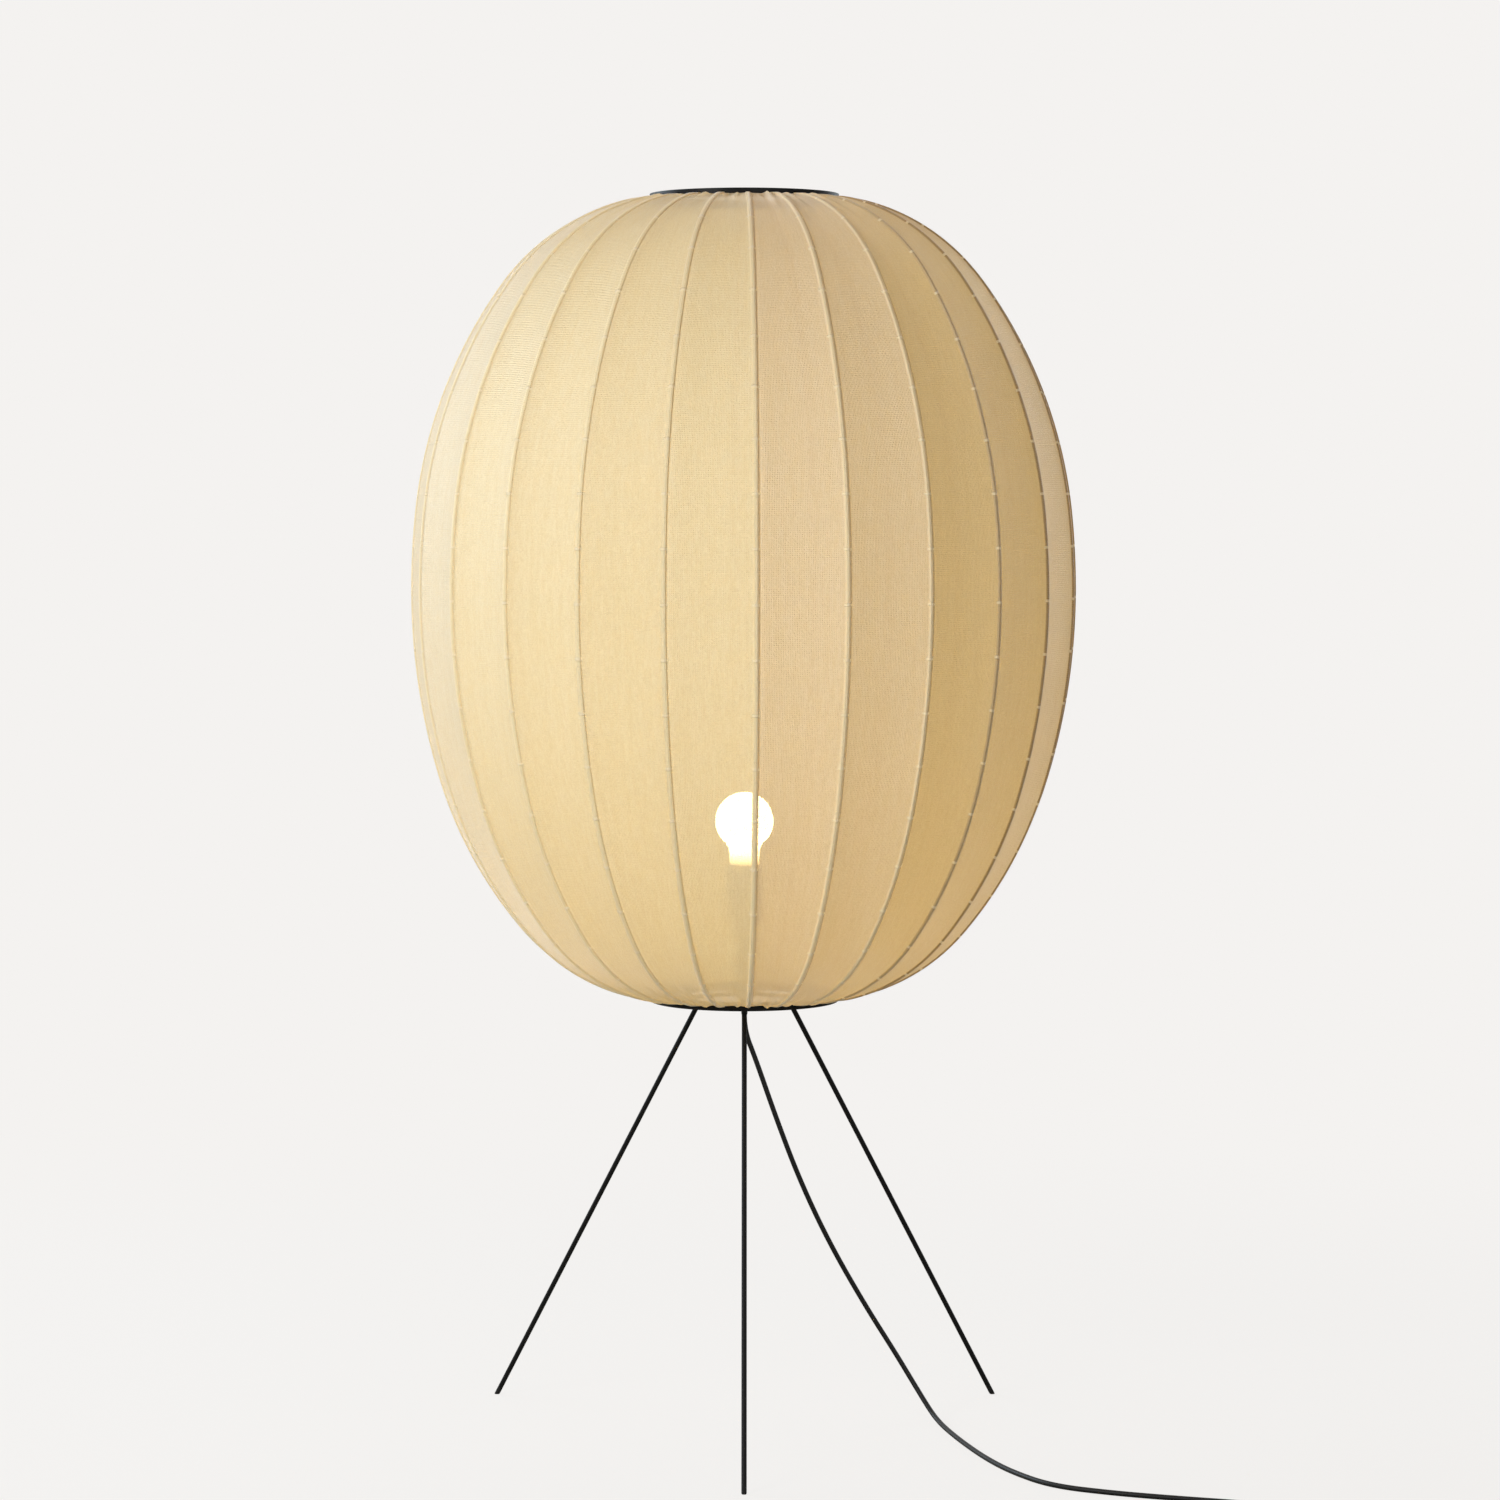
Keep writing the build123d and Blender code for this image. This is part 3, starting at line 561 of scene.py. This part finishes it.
def halfOutline(height, slopes, share):  # (radius, drop from the ring, slope) on three joined arcs
    middle = share * height
    angles = [math.radians(a) for a in (*slopes, 90)]
    s, c = [math.sin(a) for a in angles], [math.cos(a) for a in angles]
    across = shade["radius"] - shade["end"] - middle * (s[2] - s[1])
    up = height - middle * (c[1] - c[2])
    det = (s[1] - s[0]) * (c[2] - c[3]) - (s[3] - s[2]) * (c[0] - c[1])
    first = (across * (c[2] - c[3]) - up * (s[3] - s[2])) / det
    last = (up * (s[1] - s[0]) - across * (c[0] - c[1])) / det
    r, drop, stations = shade["end"], 0.0, []
    for radius, start, end in zip((first, middle, last), angles, angles[1:]):
        for i in range(shade["arcSteps"]):
            a = start + (end - start) * i / shade["arcSteps"]
            stations.append((r + radius * (math.sin(a) - math.sin(start)),
                             drop + radius * (math.cos(start) - math.cos(a)), a))
        r += radius * (math.sin(end) - math.sin(start))
        drop += radius * (math.cos(start) - math.cos(end))
    return stations + [(r, drop, angles[3])]


def shadeOutline(rows):  # evenly spaced (radius, z, outward r, outward z, distance along)
    over, under = shade["top"] - shade["widest"], shade["widest"] - shade["bottom"]
    upper = [(r, shade["top"] - d, math.sin(a), math.cos(a))
             for r, d, a in halfOutline(over, shade["topSlopes"], shade["topShare"])]
    lower = [(r, shade["bottom"] + d, math.sin(a), -math.cos(a))
             for r, d, a in halfOutline(under, shade["bottomSlopes"], shade["bottomShare"])]
    line = upper + lower[-2::-1]
    along = [0.0]
    for p, q in zip(line, line[1:]):
        along.append(along[-1] + math.hypot(q[0] - p[0], q[1] - p[1]))
    found, i = [], 0
    for k in range(rows + 1):
        at = along[-1] * k / rows
        while i < len(along) - 2 and along[i + 1] < at:
            i += 1
        t = (at - along[i]) / (along[i + 1] - along[i])
        found.append(tuple(a + (b - a) * t for a, b in zip(line[i], line[i + 1])) + (at,))
    return found


outline = shadeOutline(shade["rows"])
ribStep = 2 * math.pi / shade["ribs"]
shadeLength = outline[-1][4]


def ribAngle(k):  # azimuth of a rib about the lamp's axis
    return math.radians(shade["turn"] - 90) + k * ribStep


# ---- the knitted cover: taut panels between channels that stand over the ribs

cover = {
    # mm across, mm deep
    "channel": [(-3.0, 1.9), (-2.6, 1.8), (-2.35, 1.45), (-2.15, 1.0), (-1.8, 0.5), (-1.1, 0.12), (0, 0),
                (1.1, 0.12), (1.8, 0.5), (2.15, 1.0), (2.35, 1.45), (2.6, 1.85), (2.85, 2.1), (3.2, 1.9)],
    "panelColumns": 14, "sag": 0.026,     # share of a panel's width that its middle is pulled in
    "seed": 7, "gather": 0.0021, "gatherReach": 0.04, "gatherFade": 0.007, "gatherWaves": (1, 2, 3),
    "firstRib": 12,      # the tube's sewn seam lies beside the rib at the back
    "weaveWidth": 0.085, "weaveMargin": 0.035, "flat": (2.04, 0.02),   # metres, share of a panel, girth and hem
    "edgeDrop": 1.5, "edgeLeft": 0.55, "edgeReach": 0.012,   # mm and share of its height that a channel keeps
}


def makeCover():
    dice = random.Random(cover["seed"])
    waves = [[(dice.uniform(0.5, 1.0), dice.uniform(0, 6.28), n) for n in cover["gatherWaves"]]
             for _ in range(shade["ribs"])]
    columns, rows = cover["panelColumns"], len(outline)
    channel = [(u * mm, d * mm) for u, d in cover["channel"]]
    width = len(channel) + columns - 1
    total = width * shade["ribs"] + 1
    firstRib, margin = cover["firstRib"], cover["weaveMargin"]
    points, weaveOf, seamOf = [], [], []
    for r, z, nr, nz, along in outline:
        edge = min(along, shadeLength - along)
        near = math.exp(-(edge / cover["gatherReach"]) ** 1.3) * (1 - math.exp(-(edge / cover["gatherFade"]) ** 2))
        ended = math.exp(-(edge / cover["edgeReach"]) ** 2)       # channels flatten at the rings
        top, left = cover["edgeDrop"] * mm * ended, 1 - (1 - cover["edgeLeft"]) * ended

        def spot(u, d, angle):
            rr, zz = r - nr * d, z - nz * d
            return Vector((rr * math.cos(angle) - u * math.sin(angle), rr * math.sin(angle) + u * math.cos(angle), zz))

        for k in range(firstRib, firstRib + shade["ribs"]):
            here, after = ribAngle(k), ribAngle(k + 1)
            for u, d in channel:
                points.append(spot(u, top + d * left, here))
                weaveOf.append((k + u / cover["weaveWidth"], along))
                seamOf.append((abs(u), along))
            a, b = points[-1], spot(channel[0][0], top + channel[0][1] * left, after)
            chord, middle = (b - a).length, (here + after) / 2
            inward = Vector((-nr * math.cos(middle), -nr * math.sin(middle), -nz))
            for i in range(1, columns):
                t = i / columns
                pull = cover["sag"] * chord * 4 * t * (1 - t)
                fold = sum(w * math.sin(math.pi * n * t * 2 + p) for w, p, n in waves[k - firstRib])
                offset = pull + cover["gather"] * near * (fold * math.sin(math.pi * t))
                points.append(a + (b - a) * t + inward * offset)
                weaveOf.append((k + margin + t * (1 - 2 * margin), along))
                seamOf.append((channel[-1][0] + min(t, 1 - t) * chord, along))
        points.append(points[-total + 1].copy())      # the sewn seam closes the tube here
        weaveOf.append((firstRib + shade["ribs"] - margin, along))
        seamOf.append((channel[-1][0], along))
    faces, weave, seam = [], [], []
    for j in range(rows - 1):
        for i in range(total - 1):
            ring = (j * total + i, (j + 1) * total + i, (j + 1) * total + i + 1, j * total + i + 1)
            faces.append(ring)
            for v in ring:
                weave += weaveOf[v]
                seam += seamOf[v]
    mesh = bpy.data.meshes.new("knitted_shade")
    mesh.from_pydata(points, [], faces)
    for name, values in (("weave", weave), ("seam", seam)):
        mesh.uv_layers.new(name=name).data.foreach_set("uv", values)
    mesh.polygons.foreach_set("use_smooth", [True] * len(mesh.polygons))
    flip = mesh.polygons[len(faces) // 2]
    if flip.normal.dot(Vector((flip.center.x, flip.center.y, 0))) < 0:
        mesh.flip_normals()
    area = sum(p.area for p in mesh.polygons)
    piece = putPiece("knitted_shade", mesh, "knit", "lamp", "knitted_cover")
    girth, hem = cover["flat"]
    round(shadeLength + hem, 3)
    round(min(area, girth * shadeLength), 3)
    print(f"cover {area:.3f} square metres, {len(faces)} faces, {shadeLength:.3f} m from ring to ring")


# mm; half its width, how deep it lies under the outline, and its ends, which are ground thinner to fit the rings
rib = {"half": 2.0, "outer": 0.8, "inner": 2.6, "groundOff": 0.9, "tail": 4.7, "corners": 12}


def makeRibs():  # each rib in the back of its channel, a flat strip with rounded edges
    def section(edge):      # across and inwards, at a distance from the nearer ring
        outer = (rib["outer"] + rib["groundOff"] * math.exp(-(edge / cover["edgeReach"]) ** 2)) * mm
        middle, thick = (rib["inner"] * mm + outer) / 2, (rib["inner"] * mm - outer) / 2
        turns = [2 * math.pi * (i + 0.5) / rib["corners"] for i in range(rib["corners"])]
        return [(rib["half"] * mm * math.copysign(abs(x) ** 0.5, x), middle + thick * math.copysign(abs(y) ** 0.5, y))
                for x, y in ((math.cos(a), math.sin(a)) for a in turns)]

    first, last = outline[0], outline[-1]
    tail = rib["tail"] * mm
    line = ([(first[0] - tail * first[3], first[1] + tail * first[2], *first[2:4], 0.0)] + outline
            + [(last[0] + tail * last[3], last[1] - tail * last[2], *last[2:])])
    rings = [[(r - nr * d, u, z - nz * d) for u, d in section(min(along, shadeLength - along))]
             for r, z, nr, nz, along in line]
    mesh = loft("rib", rings)
    for k in range(shade["ribs"]):
        piece = bpy.data.objects.new(f"shade_rib_{k + 1:02d}", mesh)
        piece.rotation_euler = (0, 0, ribAngle(k))
        bpy.context.scene.collection.objects.link(piece)
        if not mesh.materials:
            mesh.materials.append(paints["rib"])
        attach(piece, "lamp")
        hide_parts(f"rib_{k + 1:02d}")


makeCover()
makeRibs()
print("shade")


# ---- legs

leg = {
    "foot": (288.0, 7.794), "bend": (52.5, 415.7), "arm": (67.21, 426.0), "end": (87.9, 426.0),   # mm out, mm up
    "radius": 2.5 * mm, "bendRadius": 8.0, "sides": 28, "azimuths": {"front": -90, "right": 30, "left": 150},
    "glide": ((0.0, 0.93), (0.04, 1.0), (0.75, 1.0), (0.92, 0.97), (1.0, 0.86)),   # share of its length, of the radius
}


def bentLine(points, radius, steps=8):  # straight runs with round bends, in the (radius, z) plane
    line = [Vector(points[0])]
    for a, b, c in zip(points, points[1:], points[2:]):
        a, b, c = Vector(a), Vector(b), Vector(c)
        into, away = (b - a).normalized(), (c - b).normalized()
        half = into.angle(away) / 2
        back = radius * math.tan(half)
        centre = b + (away - into).normalized() * (radius / math.cos(half))
        start, end = b - into * back, b + away * back
        for i in range(steps + 1):
            spoke = (start - centre).lerp(end - centre, i / steps)
            line.append(centre + spoke.normalized() * radius)
    return line + [Vector(points[-1])]


def makeLegs():
    line = bentLine([leg["foot"], leg["bend"], leg["arm"], leg["end"]], leg["bendRadius"])
    sides = leg["sides"]
    body = tubeAlong("leg", [(p.x * mm, 0, p.y * mm) for p in line], leg["radius"], sides)
    down = (Vector(leg["foot"]) - Vector(leg["bend"])).normalized()
    out = Vector((down.x, 0, down.y))
    foot = Vector((leg["foot"][0], 0, leg["foot"][1])) * mm
    side, up = Vector((0, 1, 0)), Vector((-out.z, 0, out.x))
    rings = []
    for share, r in leg["glide"]:
        ring = []
        for k in range(sides):
            a = 2 * math.pi * k / sides
            spoke = side * (leg["radius"] * r * math.cos(a)) + up * (leg["radius"] * r * math.sin(a))
            far = (foot.z + spoke.z) / -out.z
            ring.append(foot + spoke + out * (far * share))
        rings.append(ring)
    tip = loft("leg_glide", rings)
    parts = (("leg_rod", body, "black_metal", "leg"), ("leg_glide", tip, "rubber_tip", "leg_tip"))
    for name, azimuth in leg["azimuths"].items():
        for kind, mesh, slot, node in parts:
            piece = bpy.data.objects.new(f"{kind}_{name}", mesh)
            piece.rotation_euler = (0, 0, math.radians(azimuth))
            bpy.context.scene.collection.objects.link(piece)
            if not mesh.materials:
                mesh.materials.append(paints[slot])
            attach(piece, "lamp")
            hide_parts(f"{node}_{name}")


makeLegs()
print("legs")


# ---- lampholder and bulb

def arc(cr, cz, radius, start, end, steps):
    return [(cr + radius * math.cos(math.radians(start + (end - start) * i / steps)),
             cz + radius * math.sin(math.radians(start + (end - start) * i / steps))) for i in range(steps + 1)]


def inMetres(line):
    return [(max(r, 0) * mm, z * mm) for r, z in line]


# outlines are (radius, height) in mm, round the lamp's axis
holder = {
    "stem": [(6.5, 430), (7.6, 430), (8, 430.4), (8, 495.5), (7.6, 496), (6.5, 496), (6.5, 430)],
    "cupFoot": [(5.1, 496), (12, 496), (15.2, 497.2), (16.8, 499.8), (17.4, 504), (17.5, 509), (17.5, 512),
                (16.9, 512.5), (16.9, 513.3), (17.5, 513.8)],
    "grip": {"count": 14, "from": 516, "step": 2.2, "out": 17.5, "in": 17.05},
    "cupRim": [(17.5, 548), (17.5, 554.8), (17.2, 555.8), (16.3, 556), (16.0, 555.4), (16.0, 502.4), (5.1, 502.2),
               (5.1, 496)],
    "insertOut": [(3, 502.2), (15.7, 502.2), (15.85, 502.6), (15.85, 541.6), (15.5, 542), (13.8, 542)],
    "insertThread": {"count": 8, "from": 541, "step": 3.2, "crest": 13.5, "root": 13.9},
    "insertIn": [(13.5, 514), (3, 514), (3, 502.2)],
    "reliefRings": {"count": 5, "from": 409.2, "step": 2.5, "radius": 2.9, "widen": 0.33},
    "reliefHead": [(4.5, 421.5), (5.7, 421.5), (6, 421.8), (6, 423.8), (5.8, 424), (3.6, 424), (3.6, 434), (2.4, 434),
                   (2.5, 408)],
    "nippleThread": {"count": 25, "from": 424.6, "step": 1.0, "crest": 5.0, "root": 4.65},
}

bulb = {
    "neck": [(0, 549.5), (13.2, 549.5), (14.2, 550.0), (14.5, 551.5), (14.5, 562), (14.6, 567), (15.6, 572.2),
             (18.6, 577.9)],
    "globe": (598.5, 28.5), "globeFrom": -40, "globeSteps": 22,
    "capFoot": [(0, 525.5), (4.9, 525.5), (5.2, 525.8), (9.5, 529), (12.4, 531.3)],
    "capThread": {"count": 4, "from": 532, "step": 3.6},
    "capTurn": [(12.3, 0), (13.0, 0.9), (13.2, 1.6), (13.0, 2.3), (12.3, 3.2)],
    "capRim": [(12.6, 547), (13.2, 548), (13.2, 549.5), (0, 549.5)],
    "contact": [(0, 522.5), (2.2, 522.6), (3.8, 523.4), (4.4, 524.6), (4.5, 525.5), (0, 525.5)],
}


def turnedPiece(name, outline, sides, slot, body, node):
    putPiece(name, lathe(name, inMetres(outline), sides), slot, body, node)


def makeHolder():
    turnedPiece("stem", holder["stem"], 64, "black_metal", "lamp", "stem_tube")
    grip, ridges = holder["grip"], []
    for i in range(grip["count"]):
        z = grip["from"] + grip["step"] * i
        ridges += [(grip["out"], z), (grip["out"], z + 1.2), (grip["in"], z + 1.5), (grip["in"], z + 1.9)]
    cup = holder["cupFoot"] + ridges + holder["cupRim"]
    turnedPiece("holder_cup", cup, 72, "black_plastic", "lamp", "lampholder_cup")
    thread, turns = holder["insertThread"], []
    for i in range(thread["count"]):
        z, crest, root = thread["from"] - thread["step"] * i, thread["crest"], thread["root"]
        turns += [(crest, z), (root, z - 0.9), (root, z - 1.5), (crest, z - 2.4)]
    insert = holder["insertOut"] + turns + holder["insertIn"]
    turnedPiece("holder_insert", insert, 64, "white_plastic", "lamp", "lampholder_insert")
    rings, relief = holder["reliefRings"], [(2.5, 408), (2.9, 408)]
    for i in range(rings["count"]):
        z, r = rings["from"] + rings["step"] * i, rings["radius"] + rings["widen"] * i
        relief += [(r + 0.1, z), (r + 0.35, z + 1.4), (r - 0.15, z + 1.6), (r - 0.1, z + 2.2)]
    turnedPiece("cord_relief", relief + holder["reliefHead"], 40, "black_plastic", "lamp", "strain_relief")
    thread, nipple = holder["nippleThread"], [(3.7, 424), (4.7, 424)]
    for i in range(thread["count"]):
        z = thread["from"] + thread["step"] * i
        nipple += [(thread["crest"], z), (thread["root"], z + 0.5)]
    nipple += [(5, 450), (5, 502), (3.7, 502), (3.7, 424)]
    turnedPiece("nipple", nipple, 48, "steel", "lamp", "threaded_nipple")


def makeBulb():
    z, radius = bulb["globe"]
    globe = bulb["neck"] + arc(0, z, radius, bulb["globeFrom"], 90, bulb["globeSteps"])
    turnedPiece("bulb_glass", globe, 64, "opal", "bulb", "bulb_globe")
    thread, cap = bulb["capThread"], list(bulb["capFoot"])
    for i in range(thread["count"]):
        cap += [(r, thread["from"] + thread["step"] * i + up) for r, up in bulb["capTurn"]]
    turnedPiece("bulb_screw_cap", cap + bulb["capRim"], 56, "nickel", "bulb", "bulb_cap")
    turnedPiece("bulb_tip", bulb["contact"], 32, "brass", "bulb", "bulb_contact")


makeHolder()
makeBulb()
print("lampholder and bulb")


# ---- switch, plug and tie

# mm; tray and lid: how much shorter and narrower than the case, height; well and button: length, width, height
switch = {
    "centre": (434.0, -464.0), "length": 80.0, "width": 32.0, "corner": 9.5,
    "tray": [(2.4, 0), (0.6, 0.5), (0, 1.6), (0, 7.6), (0.5, 7.9)],
    "lid": [(0.5, 8.1), (0, 8.4), (0, 15.2), (0.7, 17.2), (2.2, 18.8), (4.4, 19.7), (7.5, 20.0)],
    "well": [(30, 21.5, 20.0), (27.5, 19.5, 19.6), (24.6, 16.6, 19.2)],
    "button": [(23.3, 15.3, 17), (23.3, 15.3, 21.6), (22.6, 14.6, 22.5), (20.8, 12.8, 22.95), (17, 9, 22.75),
               (12, 5, 22.6)],
    "buttonCorner": 3.2,
    # the cord's relief at each end, and the ridge and groove of each of its rings: along it, added to its radius
    "reliefRings": 6, "reliefStep": 3.3, "reliefHeight": 3.7, "reliefRadius": 3.5, "reliefTaper": 0.035,
    "reliefSunk": 0.6, "reliefWave": [(0, 0.2), (2.0, 0.2), (2.15, -0.25), (3.15, -0.25)],
}

# mm; the body lies from its face at x 260 towards -X, its relief runs towards the cord
plug = {
    "axis": (-466.4, 7.0), "face": 260,
    # from the face, half width, half height, corner
    "body": [(0, 4.6, 4.6, 4.5), (1.2, 6.0, 5.2, 4.6), (4.5, 9.6, 6.2, 4.6), (8.5, 14.2, 6.8, 4.4),
             (12.6, 17.0, 7.0, 4.2), (14.5, 17.4, 7.0, 4.2), (26.0, 17.4, 7.0, 4.2), (28.5, 17.0, 7.0, 4.2),
             (32.5, 15.0, 6.8, 4.0), (35.3, 12.9, 6.3, 3.6), (36.0, 12.0, 5.6, 3.4)],
    "reliefFrom": 259.6, "reliefRings": 5, "reliefStep": 3.6, "reliefRadius": 4.3, "reliefTaper": 0.085,
    "reliefWave": [(0, 0.25), (2.2, 0.25), (2.4, -0.3), (3.4, -0.3)],
}

# mm; a band round both layers of the coil
tie = {
    "centre": (319.35, -431.5, 6.5), "half": 6.35, "tall": 6.2, "thick": 0.8, "outerCorner": 3.0, "innerCorner": 2.3,
    "cornerSteps": 5, "levels": [(-5.0, 0.15), (-4.8, 0.0), (-1.6, 0.0), (1.6, 0.0), (4.8, 0.0), (5.0, 0.15)],
}


def stack(name, levels, centre, corner):  # rounded outlines (length, width, z) one over another
    return loft(name, [[tuple(c * mm for c in p) for p in roundedRing(l, w, min(corner, w / 2 - 0.2), z, centre)]
                       for l, w, z in levels])


def ridged(name, sizes, place):  # a tapered relief with soft rings; place turns a distance along it into a point
    line, taper = [], []
    for i in range(sizes["reliefRings"]):
        for step, bulge in sizes["reliefWave"]:
            along = sizes["reliefStep"] * i + step
            line.append(tuple(v * mm for v in place(along)))
            taper.append((sizes["reliefRadius"] - sizes["reliefTaper"] * along + bulge) * mm)
    return putPiece(name, tubeAlong(name, line, 1, 24, taper), "black_plastic", "lamp")


def makeSwitch():
    c, l, w = switch["centre"], switch["length"], switch["width"]
    tray = stack("switch_tray", [(l - less, w - less, z) for less, z in switch["tray"]], c, switch["corner"])
    tray = putPiece("switch_tray", tray, "black_plastic", "lamp", "switch_base")
    case = [(l - less, w - less, z) for less, z in switch["lid"]]
    lid = stack("switch_lid", case + switch["well"], c, switch["corner"])
    lid = putPiece("switch_lid", lid, "black_plastic", "lamp", "switch_cover")
    button = stack("switch_push", switch["button"], c, switch["buttonCorner"])
    button = putPiece("switch_push", button, "black_plastic", "button", "switch_button")
    start, height = l / 2 - switch["reliefSunk"], switch["reliefHeight"]
    reliefs = [ridged(f"switch_relief_{end}", switch, lambda x, side=side: (c[0] + side * (start + x), c[1], height))
               for side, end in ((1, "in"), (-1, "out"))]
    return tray, lid, button, reliefs


def makePlug():
    y, z = plug["axis"]
    rings = []
    for x, half, tall, corner in plug["body"]:
        ring = roundedRing(2 * half, 2 * tall, min(corner, tall - 0.1, half - 0.1), 0, (0, 0))
        rings.append([((plug["face"] - x) * mm, (y + p[0]) * mm, (z + p[1]) * mm) for p in ring])
    body = putPiece("plug_shell", loft("plug_shell", rings), "black_plastic", "lamp", "plug_body")
    return body, ridged("plug_relief", plug, lambda x: (plug["reliefFrom"] + x, y, z))


def makeTie():
    centre, half, tall, inside = tie["centre"], tie["half"], tie["tall"], 2 * tie["thick"]
    outer = roundedRing(2 * half, 2 * tall, tie["outerCorner"], 0, (0, 0), tie["cornerSteps"])
    inner = roundedRing(2 * half - inside, 2 * tall - inside, tie["innerCorner"], 0, (0, 0), tie["cornerSteps"])
    n, points, faces, levels = len(outer), [], [], tie["levels"]
    for y, inset in levels:
        for ring, sign in ((outer, 1), (inner, -1)):
            for p in ring:
                s = 1 - sign * inset / half
                points.append(((centre[0] + p[0] * s) * mm, (centre[1] + y) * mm, (centre[2] + p[1] * s) * mm))
    for i in range(len(levels) - 1):
        for k in range(n):
            m, a, b = (k + 1) % n, i * 2 * n, (i + 1) * 2 * n
            faces += [(a + k, a + m, b + m, b + k), (a + n + m, a + n + k, b + n + k, b + n + m)]
    for a in (0, (len(levels) - 1) * 2 * n):
        faces += [(a + k, a + (k + 1) % n, a + n + (k + 1) % n, a + n + k) for k in range(n)]
    mesh = bpy.data.meshes.new("cord_band")
    mesh.from_pydata(points, [], faces)
    closeUp(mesh)
    sharpen(mesh)
    return putPiece("cord_band", mesh, "black_plastic", "lamp", "cord_tie")


tray, lid, button, (reliefIn, reliefOut) = makeSwitch()
plugShell, plugRelief = makePlug()
band = makeTie()
print("switch, plug and tie")


# ---- finishes and soft edges of the nodes that stay as the CAD made them

kept = {
    # node: finish, width of its rounded edges in mm
    "upper_ring": ("black_metal", 0.5), "lower_ring": ("black_metal", 0.5), "holder_carrier": ("black_metal", 0.35),
    "nipple_nut": ("steel", 0.4), "lampholder_contact": ("brass", 0.1), "inner_lead": ("cord_black", 0.0),
    "switch_screws": ("steel", 0.2), "plug_pins": ("nickel", 0.3), "switch_block": ("white_plastic", 0.6),
}
for name, (slot, edge) in kept.items():
    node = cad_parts[name]
    if not node.material_slots:
        node.data.materials.append(paints[slot])
    for s in node.material_slots:
        s.material = paints[slot]
    if edge:
        soft = node.modifiers.new("soft edge", "BEVEL")
        soft.width, soft.segments, soft.limit_method, soft.angle_limit = edge * mm, 2, "ANGLE", math.radians(40)
        soft.use_clamp_overlap = True
print("kept nodes")

bpy.context.view_layer.update()
